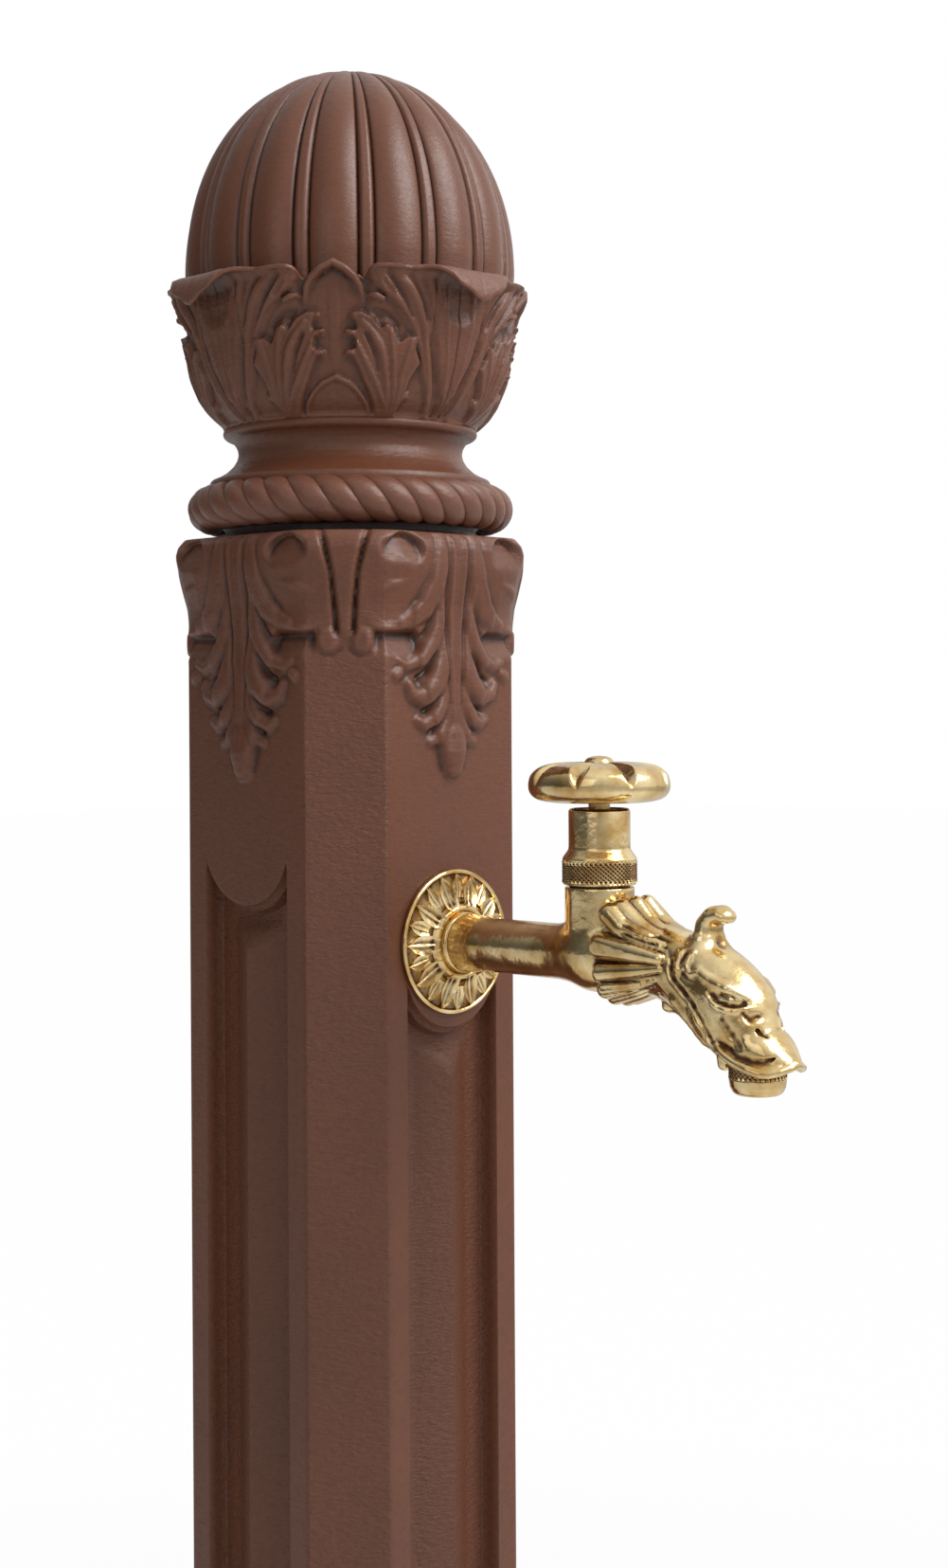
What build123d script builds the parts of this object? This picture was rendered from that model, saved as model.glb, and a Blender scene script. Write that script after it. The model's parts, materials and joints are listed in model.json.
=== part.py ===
"""Garden standpipe: a cast column with a leaf-cup finial and a brass creature-headed tap.

Sizes are millimetres. The origin is on the column's axis at the ground, +Z is up, and the tap
faces -Y. "Reach" is a distance from the column's axis towards the tap.
"""

import math
import os

from build123d import *

# Fits that several pieces share
RUNNING_GAP = 0.05
SEAT_GAP = 0.3
OVERRUN = 5.0

# Column shaft: a square with broad chamfers, hollow, closed at the top
COLUMN_WIDTH = 112.0
COLUMN_CHAMFER = 22.2
COLUMN_TOP = 870.0
COLUMN_WALL = 14.0
CHAMFER_WALL = 9.0
TOP_PLATE = 8.0
TOP_BOSS_RADIUS = 13.0
TOP_BOSS_LENGTH = 14.0

# Capital: the flared head of the shaft
CAPITAL_HEIGHT = 46.0
CAPITAL_FLARE = 4.3
CAPITAL_BELLY_DROP = 8.0
CAPITAL_MOUTH_DROP = 24.0
CAPITAL_MOUTH_FLARE = 1.7
CAPITAL_TOP_FLARE = 1.5

# Sunk panels, each with a hip-ended ridge down its middle
PANEL_WIDTH = 47.0
PANEL_DEPTH = 8.0
PANEL_FOOT = 122.0
PANEL_DROP = 124.0
TAP_PANEL_GAP = 15.0
PANEL_TONGUE = 18.0
RIDGE_WIDTH = 28.0
RIDGE_HEIGHT = 7.4
RIDGE_HIP = 9.0
RIDGE_GAP = 3.0

# Hanging leaf on each main face and scrolled ornament on each chamfer
LEAF_WIDTH = 47.0
LEAF_LENGTH = 94.0
LEAF_TOP_RELIEF = 1.6
LEAF_TIP_RELIEF = 3.4
LEAF_ROOT = 3.0
LEAF_TOP_GAP = 2.5
LEAF_SHARES = (
    (1.00, 0.00), (0.72, 0.13), (0.62, 0.30), (0.96, 0.42), (0.52, 0.47), (0.78, 0.60),
    (0.42, 0.62), (0.56, 0.76), (0.26, 0.78), (0.22, 0.92), (0.00, 1.00),
)
SCROLL_RADIUS = 7.0
SCROLL_SPREAD = 17.0
SCROLL_DROP = 11.0
SCROLL_RELIEF = 1.2
SHELL_RELIEF = 0.8
SHELL_FOOT_WIDTH = 9.0
SHELL_LENGTH = 45.0

# Base casting
FOOT_LEDGE = 18.0
FOOT_CHAMFER = 23.5
FOOT_THICKNESS = 14.0
BASE_HEIGHT = 84.0
BASE_FLARE = 18.0
BASE_WAIST_CHAMFER = 27.0
BASE_LEDGE = 6.0
BASE_NECK_CHAMFER = 25.0
BASE_NECK_BAND = 10.0
BASE_WALL = 10.0
BASE_DECK = 12.0
ANCHOR_INSET = 18.0
ANCHOR_HOLE_RADIUS = 6.0

# Screws that hold the column on the base
BOLT_RADIUS = 4.0
BOLT_HOLE_CLEARANCE = 0.5
BOLT_LENGTH = 32.0
BOLT_HEAD_ACROSS = 13.0
BOLT_HEAD_HEIGHT = 5.3
BOLT_INSET = 9.0
BOLT_WASHER_RADIUS = 8.0
BOLT_WASHER_THICKNESS = 1.6
BOLT_BOSS_RADIUS = 10.0
BOLT_BOSS_HEIGHT = 34.0

# Finial casting: foot, rope ring, neck, leaf cup and ribbed dome
FINIAL_TURN = -2.5
FINIAL_FOOT_RADIUS = 50.0
FINIAL_FOOT_HEIGHT = 5.0
FINIAL_WALL = 6.0
ROPE_RADIUS = 55.0
ROPE_THICKNESS = 9.8
ROPE_LEVEL = 13.0
STEP_RADIUS = 55.5
STEP_LEVEL = 25.4
NECK_RADIUS = 44.5
NECK_LEVEL = 34.0
COLLAR_RADIUS = 50.8
COLLAR_LEVEL = 40.5
COLLAR_HEIGHT = 7.0
CUP_BASE_RADIUS = 54.6
CUP_BELLY_INSET = 6.9
CUP_BELLY_LEVEL = 69.0
CUP_RIM_LIP = 6.0
CUP_RIM_LEVEL = 99.0
CUP_TIP_REACH = 7.4
CUP_TIP_WIDTH = 30.0
CUP_TIP_DROP = 12.0
CUP_TIP_CURL = 3.5
DOME_RADIUS = 65.0
DOME_LEVEL = 106.0
DOME_TOP = 186.3
DOME_SQUARENESS = 2.06
DOME_STATIONS = 9
ARC_STATIONS = 6
DOME_RIBS = 16
DOME_RIB_ANGLE = 4.2
DOME_RIB_RELIEF = 1.0
CROWN_RADIUS = 10.2
CROWN_HEIGHT = 0.6
STUD_RADIUS = 6.0
STUD_LENGTH = 46.0
STUD_FINIAL_DEPTH = 22.0
LOCKNUT_ACROSS = 19.0
LOCKNUT_HEIGHT = 8.0
LOCKNUT_WASHER_RADIUS = 12.0
LOCKNUT_WASHER_THICKNESS = 2.0

# Water line inside the column
RISER_RADIUS = 10.65
RISER_BORE = 8.0
RISER_SETBACK = 34.0
RISER_FOOT = 30.0
ELBOW_RADIUS = 14.0
ELBOW_ARM = 26.0
ELBOW_ENGAGEMENT = 14.0
INLET_FOOT = 10.0
INLET_LENGTH = 36.0
INLET_ACROSS = 27.0
INLET_BORE = 9.4
INLET_ENGAGEMENT = 15.0
GROMMET_RADIUS = 15.0
GROMMET_LIP = 2.5
GROMMET_LIP_THICKNESS = 2.0

# Tap: heights and reaches of its main axes
TAP_BELOW_TOP = 156.0
VALVE_FROM_FACE = 75.0
TAIL_RADIUS = 10.3
TAIL_HOLE_CLEARANCE = 0.7
TUBE_RADIUS = 10.0
TUBE_COLLAR_RADIUS = 11.4
TUBE_COLLAR_LENGTH = 7.0
INLET_WAY_RADIUS = 5.6
INLET_WAY_DROP = 3.2
BARREL_RADIUS = 12.6
BARREL_TOP = 24.6
BARREL_BASE_RADIUS = 13.4
CHAMBER_RADIUS = 9.8
SEAT_LEVEL = 6.0
SEAT_RADIUS = 5.4
BACKNUT_ACROSS = 27.0
BACKNUT_THICKNESS = 6.0
TAIL_WASHER_RADIUS = 15.0
TAIL_WASHER_THICKNESS = 1.8

# Rosette against the column
ROSETTE_RADIUS = 27.8
ROSETTE_RIM = 2.4
ROSETTE_DISH = 4.2
ROSETTE_HUB_RADIUS = 13.4
ROSETTE_HUB_HEIGHT = 8.0
ROSETTE_PETALS = 12
PETAL_WIDTH = 9.0
PETAL_RELIEF = 1.8
PETAL_TIP_GAP = 2.2

# Spout: stations from the valve's axis to the bill's tip
SPOUT_LENGTH = 91.0
SPOUT_DROP = 30.0
SPOUT_DEPTH = 36.0
SPOUT_WIDTH = 31.0
SPOUT_SHARES = (
    # along, rise, tilt in degrees, depth, width
    (0.000, 0.00, 0, 0.667, 0.774),
    (0.165, 0.06, -10, 0.750, 0.800),
    (0.297, 0.03, -18, 0.750, 0.780),
    (0.430, -0.06, -24, 0.740, 0.800),
    (0.566, -0.26, -29, 0.870, 0.880),
    (0.680, -0.52, -36, 0.880, 0.860),
    (0.764, -0.74, -40, 0.680, 0.800),
    (0.840, -0.91, -36, 0.420, 0.720),
    (0.905, -1.02, -20, 0.200, 0.600),
    (0.968, -1.02, -6, 0.080, 0.340),
)
RUFF_LOBES = 8
RUFF_ALONG_SHARE = 0.165
RUFF_LEAN_ANGLE = 14.0
RUFF_DEPTH_RADIUS = 14.2
RUFF_WIDTH_RADIUS = 12.0
RUFF_LOBE_RADIUS = 4.5
RUFF_LOBE_END_RADIUS = 2.6
RUFF_LENGTH = 21.0
RUFF_TAPER = 4.0
CREST_THICKNESS = 11.0
CREST_SHARES = (
    # along, rise, tilt in degrees, thickness
    (0.525, 0.17, 92, 1.00),
    (0.520, 0.42, 88, 0.86),
    (0.548, 0.56, 48, 0.76),
    (0.600, 0.61, 4, 0.56),
    (0.645, 0.575, -30, 0.26),
)
JAW_BEAD_RADIUS = 3.4
JAW_BEAD_ALONG_SHARE = 0.605
JAW_BEAD_DROP_SHARE = 1.09
JAW_BEAD_ROOT_SHARE = 0.80
NOZZLE_ALONG_SHARE = 0.7747
WATERWAY_RADIUS = 5.2
WATERWAY_SHARES = ((0.05, 0.40), (0.31, 0.14), (0.60, -0.36), (NOZZLE_ALONG_SHARE, -0.74))

# Nozzle ring under the bill
NOZZLE_DROP_SHARE = 1.0133
NOZZLE_NECK_RADIUS = 8.3
NOZZLE_NECK_LENGTH = 6.0
NOZZLE_RING_RADIUS = 10.0
NOZZLE_RING_HEIGHT = 6.4
NOZZLE_BEVEL_RADIUS = 7.9
NOZZLE_BEVEL_HEIGHT = 5.4
NOZZLE_BORE = 6.8
NOZZLE_SEAT_BORE = 5.4
NOZZLE_SEAT_DEPTH = 2.4
NOZZLE_GASKET_THICKNESS = 1.2
JET_DISC_RADIUS = 6.7
JET_DISC_THICKNESS = 1.6
JET_HOLE_RADIUS = 0.8
JET_HOLE_RING = 3.6
JET_HOLES = 6

# Headwork above the barrel: all levels are above the tap's axis
HEADWORK_FLANGE_RADIUS = 11.6
HEADWORK_FLANGE_THICKNESS = 2.6
HEADWORK_DEPTH = 8.6
HEADWORK_SLEEVE_RADIUS = 8.6
HEADWORK_HEIGHT = 20.0
GLAND_POCKET_RADIUS = 6.6
GLAND_POCKET_DEPTH = 9.0
PACKING_THICKNESS = 4.0
GLAND_NUT_FLANGE = 2.0
BODY_GASKET_THICKNESS = 0.8
CAP_RING_RADIUS = 13.6
CAP_RING_HEIGHT = 9.0
CAP_SHOULDER_HEIGHT = 3.5
CAP_SLEEVE_RADIUS = 11.2
CAP_SLEEVE_HEIGHT = 15.0
CAP_EDGE = 1.0
CAP_WALL = 1.7
CAP_LID = 1.6

# Spindle and the valve that it lifts
SPINDLE_RADIUS = 3.9
SPINDLE_THREAD_RADIUS = 5.8
SPINDLE_FOOT = 10.0
SPINDLE_THREAD_LENGTH = 11.6
SPINDLE_SQUARE = 5.4
SPINDLE_TOP_GAP = 1.0
JUMPER_STEM_RADIUS = 2.6
JUMPER_STEM_LENGTH = 6.0
JUMPER_DISC_RADIUS = 7.8
JUMPER_DISC_THICKNESS = 2.0
SEAT_WASHER_RADIUS = 7.4
SEAT_WASHER_THICKNESS = 1.8
JUMPER_NUT_ACROSS = 5.5
JUMPER_NUT_HEIGHT = 2.2

# Handwheel
WHEEL_RADIUS = 25.6
WHEEL_GAP = 2.2
WHEEL_RIM_HEIGHT = 13.1
WHEEL_CROWN = 1.5
WHEEL_EDGE_ROUND = 5.2
WHEEL_HOLLOW_RADIUS = 17.0
WHEEL_HOLLOW_DEPTH = 3.0
WHEEL_HUB_RADIUS = 7.5
WHEEL_GROOVES = 8
GROOVE_RADIUS = 3.0
GROOVE_START = 6.5
GROOVE_FALL = 13.0
SCREW_HEAD_RADIUS = 5.4
SCREW_HEAD_HEIGHT = 2.1
SCREW_SHANK_RADIUS = 1.9
SCREW_LENGTH = 9.0

# Levels and reaches worked out from the sizes above
FACE_REACH = COLUMN_WIDTH / 2
INNER_REACH = FACE_REACH - COLUMN_WALL
RISER_REACH = INNER_REACH - RISER_SETBACK
CUP_RIM_RADIUS = DOME_RADIUS + CUP_RIM_LIP
CUP_BELLY_RADIUS = CUP_RIM_RADIUS - CUP_BELLY_INSET
CUP_TIP_RADIUS = CUP_RIM_RADIUS + CUP_TIP_REACH
COLUMN_DIAGONAL = math.sqrt(2) * (COLUMN_WIDTH - COLUMN_CHAMFER)
CORE_WIDTH = COLUMN_WIDTH - 2 * COLUMN_WALL
CORE_CHAMFER = COLUMN_CHAMFER - 2 * COLUMN_WALL + math.sqrt(2) * CHAMFER_WALL
OFFSET_SHARE = 2 - math.sqrt(2)
BASE_NECK_WIDTH = COLUMN_WIDTH + 2 * BASE_LEDGE
BASE_WAIST_WIDTH = BASE_NECK_WIDTH + 2 * BASE_FLARE
FOOT_WIDTH = BASE_WAIST_WIDTH + 2 * FOOT_LEDGE
ANCHOR_SPACING = FOOT_WIDTH - 2 * ANCHOR_INSET
BOLT_SPACING = CORE_WIDTH - 2 * BOLT_INSET
TAP_HEIGHT = COLUMN_TOP - TAP_BELOW_TOP
VALVE_REACH = FACE_REACH + VALVE_FROM_FACE
PANEL_HORN = COLUMN_TOP - PANEL_DROP
TAP_PANEL_HORN = TAP_HEIGHT - TAP_PANEL_GAP
CAPITAL_FOOT = COLUMN_TOP - CAPITAL_HEIGHT
PANEL_FLOOR = FACE_REACH - PANEL_DEPTH
BASE_DECK_UNDER = BASE_HEIGHT - BASE_DECK
VALVE_TOP = TAP_HEIGHT + BARREL_TOP
CAP_FOOT = VALVE_TOP + BODY_GASKET_THICKNESS
CAP_TOP = CAP_FOOT + CAP_RING_HEIGHT + CAP_SHOULDER_HEIGHT + CAP_SLEEVE_HEIGHT
SEAT_Z = TAP_HEIGHT + SEAT_LEVEL
WASHER_TOP = SEAT_Z + SEAT_WASHER_THICKNESS
JUMPER_TOP = WASHER_TOP + JUMPER_DISC_THICKNESS
FLANGE_FOOT = VALVE_TOP + BODY_GASKET_THICKNESS
FLANGE_TOP = FLANGE_FOOT + HEADWORK_FLANGE_THICKNESS
HEADWORK_TOP = FLANGE_TOP + HEADWORK_HEIGHT
GLAND_POCKET_FOOT = HEADWORK_TOP - GLAND_POCKET_DEPTH
WHEEL_FOOT = CAP_TOP + WHEEL_GAP
WHEEL_TOP = WHEEL_FOOT + WHEEL_RIM_HEIGHT + WHEEL_CROWN
NOZZLE_SEAT_Z = TAP_HEIGHT - NOZZLE_DROP_SHARE * SPOUT_DROP
NOZZLE_REACH = VALVE_REACH + NOZZLE_ALONG_SHARE * SPOUT_LENGTH
TAIL_END_REACH = RISER_REACH + ELBOW_ARM - ELBOW_ENGAGEMENT


def octagon(width, chamfer):
    """A square of the given width with its corners cut off by the given length of each side."""
    half = width / 2
    inner = half - chamfer
    corners = ((half, inner), (inner, half), (-inner, half), (-half, inner),
               (-half, -inner), (-inner, -half), (inner, -half), (half, -inner))
    return Polygon(*corners)


def prism(width, chamfer, low, high):
    """An upright octagonal block between two levels."""
    return Pos(0, 0, low) * extrude(octagon(width, chamfer), high - low)


def tapered_prism(*stations):
    """Flat-sided block through octagons given as (width, chamfer, level)."""
    faces = [Pos(0, 0, level) * octagon(width, chamfer) for width, chamfer, level in stations]
    return loft(faces, ruled=True)


def turned(*outline):
    """Solid of revolution about Z of a closed outline of (radius, level) points."""
    points = [(radius, 0, level) for radius, level in outline]
    return revolve(make_face(Polyline(*points, close=True)), Axis.Z)


def ring(outer, inner, low, high):
    """Plain ring or washer about Z."""
    return turned((inner, low), (outer, low), (outer, high), (inner, high))


def rod(start, end, radius, end_radius=None):
    """Round bar or cone from one point to another."""
    start, end = Vector(*start), Vector(*end)
    length = (end - start).length
    plane = Plane(origin=start, z_dir=end - start)
    if end_radius is None or math.isclose(radius, end_radius):
        shape = Cylinder(radius, length, align=(Align.CENTER, Align.CENTER, Align.MIN))
    else:
        shape = Cone(radius, end_radius, length, align=(Align.CENTER, Align.CENTER, Align.MIN))
    return plane * shape


def hexagon(across, low, high):
    """Upright hexagonal block, given its size across the flats."""
    return Pos(0, 0, low) * extrude(RegularPolygon(across / math.sqrt(3), 6), high - low)


def on_valve(shape):
    """Moves a shape made about Z at the origin to the valve's upright axis."""
    return Pos(0, -VALVE_REACH, 0) * shape


def along_tap(shape):
    """Turns a shape made about +Z so that +Z becomes the tap's outward axis."""
    return Pos(0, 0, TAP_HEIGHT) * Rot(90, 0, 0) * shape


def around(shape, count, first=0.0):
    """Copies of a shape at equal angles about Z."""
    return [Rot(0, 0, first + 360 * turn / count) * shape for turn in range(count)]


def panel_sinking(horn):
    """Cutter for one sunk panel on the -Y face, with its ridge left standing."""
    half, middle = PANEL_WIDTH / 2, horn - PANEL_TONGUE
    outline = [
        Line((-half, PANEL_FOOT), (half, PANEL_FOOT)),
        Line((half, PANEL_FOOT), (half, horn)),
        ThreePointArc((half, horn), (0, middle), (-half, horn)),
        Line((-half, horn), (-half, PANEL_FOOT)),
    ]
    floor = Plane((0, -PANEL_FLOOR, 0), x_dir=(1, 0, 0), z_dir=(0, -1, 0))
    cutter = extrude(floor * make_face(outline), PANEL_DEPTH + OVERRUN, dir=(0, -1, 0))
    low, high = PANEL_FOOT + RIDGE_GAP, middle - RIDGE_GAP
    peak, root = -(PANEL_FLOOR + RIDGE_HEIGHT), -(PANEL_FLOOR - OVERRUN)
    slope = RIDGE_WIDTH / 2 * (RIDGE_HEIGHT + OVERRUN) / RIDGE_HEIGHT
    section = Polygon((-slope, root), (slope, root), (0, peak))
    bar = Pos(0, 0, low - OVERRUN) * extrude(section, high - low + 2 * OVERRUN)
    lean = RIDGE_HIP * OVERRUN / RIDGE_HEIGHT
    side = make_face(Polyline((0, root, low - lean), (0, peak, low + RIDGE_HIP),
                              (0, peak, high - RIDGE_HIP), (0, root, high + lean), close=True))
    hips = extrude(side, slope + OVERRUN, dir=(1, 0, 0), both=True)
    return cutter - (bar & hips)


def hanging_leaf():
    """Relief of one hanging leaf on the -Y face, thinner towards its tip."""
    top = COLUMN_TOP - LEAF_TOP_GAP
    right = [(across * LEAF_WIDTH / 2, top - down * LEAF_LENGTH) for across, down in LEAF_SHARES]
    left = [(-x, z) for x, z in reversed(right[:-1])]
    leaf_plane = Plane((0, 0, 0), x_dir=(1, 0, 0), z_dir=(0, -1, 0))
    slab = extrude(leaf_plane * Polygon(*right, *left), FACE_REACH + CAPITAL_FLARE + OVERRUN, dir=(0, -1, 0))
    belly = COLUMN_TOP - CAPITAL_BELLY_DROP
    tip = top - LEAF_LENGTH
    side = make_face(Polyline(
        (0, -(FACE_REACH - LEAF_ROOT), tip),
        (0, -(FACE_REACH + LEAF_TIP_RELIEF), tip),
        (0, -(FACE_REACH + LEAF_TIP_RELIEF), CAPITAL_FOOT),
        (0, -(FACE_REACH + CAPITAL_FLARE + LEAF_TOP_RELIEF), belly),
        (0, -(FACE_REACH + CAPITAL_TOP_FLARE + LEAF_TOP_RELIEF), top),
        (0, -(FACE_REACH - LEAF_ROOT), top),
        close=True,
    ))
    return slab & extrude(side, LEAF_WIDTH, dir=(1, 0, 0), both=True)


def chamfer_scroll():
    """Two volutes over a shell-shaped tongue, on the chamfer that faces the -Y axis here."""
    reach = COLUMN_DIAGONAL / 2
    front = Plane((0, 0, 0), x_dir=(1, 0, 0), z_dir=(0, -1, 0))
    level = COLUMN_TOP - SCROLL_DROP
    shell_top, shell_foot = COLUMN_TOP - LEAF_TOP_GAP, COLUMN_TOP - SHELL_LENGTH
    outline = Polygon((-SCROLL_SPREAD / 2, shell_top), (SCROLL_SPREAD / 2, shell_top),
                      (SCROLL_SPREAD, level), (SHELL_FOOT_WIDTH / 2, shell_foot),
                      (-SHELL_FOOT_WIDTH / 2, shell_foot), (-SCROLL_SPREAD, level))
    tongue = extrude(front * outline, reach + SHELL_RELIEF, dir=(0, -1, 0))
    shape = tongue
    for side in (-1, 1):
        eye = (side * SCROLL_SPREAD / 2, 0, level)
        end = (side * SCROLL_SPREAD / 2, -(reach + CAPITAL_FLARE + SCROLL_RELIEF), level)
        shape = shape + rod(eye, end, SCROLL_RADIUS)
    return shape - prism(CORE_WIDTH, CORE_CHAMFER, 0, COLUMN_TOP - TOP_PLATE)


def column():
    """Shaft and capital in one casting, with panels, leaves, scrolls, bosses and the tap hole."""
    grow = (0, CAPITAL_MOUTH_FLARE, CAPITAL_FLARE, CAPITAL_TOP_FLARE)
    levels = (CAPITAL_FOOT, COLUMN_TOP - CAPITAL_MOUTH_DROP, COLUMN_TOP - CAPITAL_BELLY_DROP, COLUMN_TOP)
    stations = [(COLUMN_WIDTH + 2 * out, COLUMN_CHAMFER + OFFSET_SHARE * out, z)
                for out, z in zip(grow, levels)]
    body = prism(COLUMN_WIDTH, COLUMN_CHAMFER, BASE_HEIGHT, CAPITAL_FOOT) + tapered_prism(*stations)
    body += around(hanging_leaf(), 4)
    body += around(chamfer_scroll(), 4, 45)
    for turn in range(4):
        horn = TAP_PANEL_HORN if turn == 0 else PANEL_HORN
        body -= Rot(0, 0, 90 * turn) * panel_sinking(horn)
    body -= prism(CORE_WIDTH, CORE_CHAMFER, BASE_HEIGHT - OVERRUN, COLUMN_TOP - TOP_PLATE)
    plate_under = COLUMN_TOP - TOP_PLATE
    body += rod((0, 0, plate_under - TOP_BOSS_LENGTH), (0, 0, plate_under), TOP_BOSS_RADIUS)
    body -= rod((0, 0, plate_under - TOP_BOSS_LENGTH - OVERRUN), (0, 0, COLUMN_TOP + OVERRUN),
                STUD_RADIUS + RUNNING_GAP)
    hole_top = BASE_HEIGHT + BOLT_LENGTH - BASE_DECK + RUNNING_GAP
    for x, y in bolt_places():
        boss = rod((x, y, BASE_HEIGHT), (x, y, BASE_HEIGHT + BOLT_BOSS_HEIGHT), BOLT_BOSS_RADIUS)
        body += boss & prism(COLUMN_WIDTH - PANEL_DEPTH, COLUMN_CHAMFER,
                             BASE_HEIGHT, BASE_HEIGHT + BOLT_BOSS_HEIGHT)
        body -= rod((x, y, BASE_HEIGHT - OVERRUN), (x, y, hole_top), BOLT_RADIUS + RUNNING_GAP)
    body -= rod((0, -INNER_REACH + OVERRUN, TAP_HEIGHT), (0, -FACE_REACH - OVERRUN, TAP_HEIGHT),
                TAIL_RADIUS + TAIL_HOLE_CLEARANCE)
    return body


def bolt_places():
    """Centres of the four screws between the base and the column."""
    half = BOLT_SPACING / 2
    return [(x, y) for x in (-half, half) for y in (-half, half)]


def base():
    """Foot plate, hollow tapering block and deck, in one casting."""
    neck = BASE_HEIGHT - BASE_NECK_BAND
    body = prism(FOOT_WIDTH, FOOT_CHAMFER, 0, FOOT_THICKNESS)
    body += tapered_prism((BASE_WAIST_WIDTH, BASE_WAIST_CHAMFER, FOOT_THICKNESS),
                          (BASE_NECK_WIDTH, BASE_NECK_CHAMFER, neck),
                          (BASE_NECK_WIDTH, BASE_NECK_CHAMFER, BASE_HEIGHT))
    wall, corner = 2 * BASE_WALL, OFFSET_SHARE * BASE_WALL
    body -= tapered_prism((BASE_WAIST_WIDTH - wall, BASE_WAIST_CHAMFER - corner, 0),
                          (BASE_WAIST_WIDTH - wall, BASE_WAIST_CHAMFER - corner, FOOT_THICKNESS),
                          (BASE_NECK_WIDTH - wall, BASE_NECK_CHAMFER - corner, BASE_DECK_UNDER))
    body -= rod((0, -RISER_REACH, BASE_DECK_UNDER - OVERRUN), (0, -RISER_REACH, BASE_HEIGHT + OVERRUN),
                GROMMET_RADIUS)
    for x, y in bolt_places():
        body -= rod((x, y, BASE_DECK_UNDER - OVERRUN), (x, y, BASE_HEIGHT + OVERRUN),
                    BOLT_RADIUS + BOLT_HOLE_CLEARANCE)
    half = ANCHOR_SPACING / 2
    for x in (-half, half):
        for y in (-half, half):
            body -= rod((x, y, -OVERRUN), (x, y, FOOT_THICKNESS + OVERRUN), ANCHOR_HOLE_RADIUS)
    return body


def base_bolts():
    """Four hexagon screws driven up through the deck."""
    under = BASE_DECK_UNDER - BOLT_WASHER_THICKNESS
    screws = []
    for x, y in bolt_places():
        shank = rod((0, 0, under), (0, 0, under + BOLT_LENGTH), BOLT_RADIUS)
        head = hexagon(BOLT_HEAD_ACROSS, under - BOLT_HEAD_HEIGHT, under)
        screws.append(Pos(x, y, 0) * (shank + head))
    return screws


def base_washers():
    """Four flat washers between the screw heads and the deck."""
    washer = ring(BOLT_WASHER_RADIUS, BOLT_RADIUS + RUNNING_GAP,
                  BASE_DECK_UNDER - BOLT_WASHER_THICKNESS, BASE_DECK_UNDER)
    return [Pos(x, y, 0) * washer for x, y in bolt_places()]


def dome_outline(radius, top):
    """Quarter outline of the dome as (radius, level) points of a squarish oval."""
    points = []
    for station in range(DOME_STATIONS + 1):
        angle = math.radians(90 * station / DOME_STATIONS)
        out = math.cos(angle) ** (2 / DOME_SQUARENESS)
        up = math.sin(angle) ** (2 / DOME_SQUARENESS)
        points.append((radius * out, DOME_LEVEL + (top - DOME_LEVEL) * up))
    points[-1] = (0, top)
    return points


def bowed(start, middle, end):
    """Points on the arc through three (radius, level) points, in even steps."""
    arc = ThreePointArc(start, middle, end)
    places = [arc @ (station / ARC_STATIONS) for station in range(ARC_STATIONS + 1)]
    return [(place.X, place.Y) for place in places]


def finial_blank():
    """The finial's turned outline, solid, with its foot at level zero."""
    rope_out = ROPE_RADIUS + ROPE_THICKNESS
    rope_low, rope_high = ROPE_LEVEL - ROPE_THICKNESS, ROPE_LEVEL + ROPE_THICKNESS
    collar_top = COLLAR_LEVEL + COLLAR_HEIGHT
    return turned(
        (0, 0), (FINIAL_FOOT_RADIUS, 0), (FINIAL_FOOT_RADIUS, rope_low),
        *bowed((ROPE_RADIUS, rope_low), (rope_out, ROPE_LEVEL), (ROPE_RADIUS, rope_high)),
        (STEP_RADIUS, rope_high),
        *bowed((STEP_RADIUS, STEP_LEVEL), (NECK_RADIUS, NECK_LEVEL), (COLLAR_RADIUS, COLLAR_LEVEL)),
        (COLLAR_RADIUS, collar_top),
        *bowed((CUP_BASE_RADIUS, collar_top), (CUP_BELLY_RADIUS, CUP_BELLY_LEVEL),
               (CUP_RIM_RADIUS, CUP_RIM_LEVEL)),
        *dome_outline(DOME_RADIUS, DOME_TOP),
    )


def dome_ribs():
    """Narrow raised ribs from the cup's rim to the crown, as wedges of a larger dome."""
    foot, radius = DOME_LEVEL - OVERRUN, DOME_RADIUS + DOME_RIB_RELIEF
    shell = turned((0, foot), (radius, foot), *dome_outline(radius, DOME_TOP + DOME_RIB_RELIEF / 2))
    slope = math.tan(math.radians(DOME_RIB_ANGLE / 2))
    near, far = CROWN_RADIUS - CROWN_HEIGHT, 2 * DOME_RADIUS
    outline = Polygon((near, -near * slope), (far, -far * slope), (far, far * slope), (near, near * slope))
    wedge = extrude(outline, DOME_TOP + OVERRUN, dir=(0, 0, 1))
    return [rib & shell for rib in around(wedge, DOME_RIBS, 180 / DOME_RIBS)]


def cup_tips():
    """Four curled leaf tips that lean out of the cup over the column's main faces."""
    half, reach = CUP_TIP_WIDTH / 2, CUP_TIP_RADIUS
    root = CUP_RIM_RADIUS - FINIAL_WALL
    low, high = CUP_RIM_LEVEL - CUP_TIP_DROP, CUP_RIM_LEVEL
    side = make_face(Polyline((root, 0, low - CUP_TIP_DROP), (reach - CUP_TIP_CURL, 0, low),
                              (reach, 0, low + CUP_TIP_CURL / 2), (reach, 0, high - CUP_TIP_CURL),
                              (reach - CUP_TIP_CURL, 0, high - CUP_TIP_CURL / 2), (root, 0, high), close=True))
    plan = Polygon((root, -half), (CUP_RIM_RADIUS, -half), (reach, -half / 2), (reach, half / 2),
                   (CUP_RIM_RADIUS, half), (root, half))
    tip = extrude(side, half, dir=(0, 1, 0), both=True) & extrude(plan, high, dir=(0, 0, 1))
    return around(tip, 4)


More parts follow.
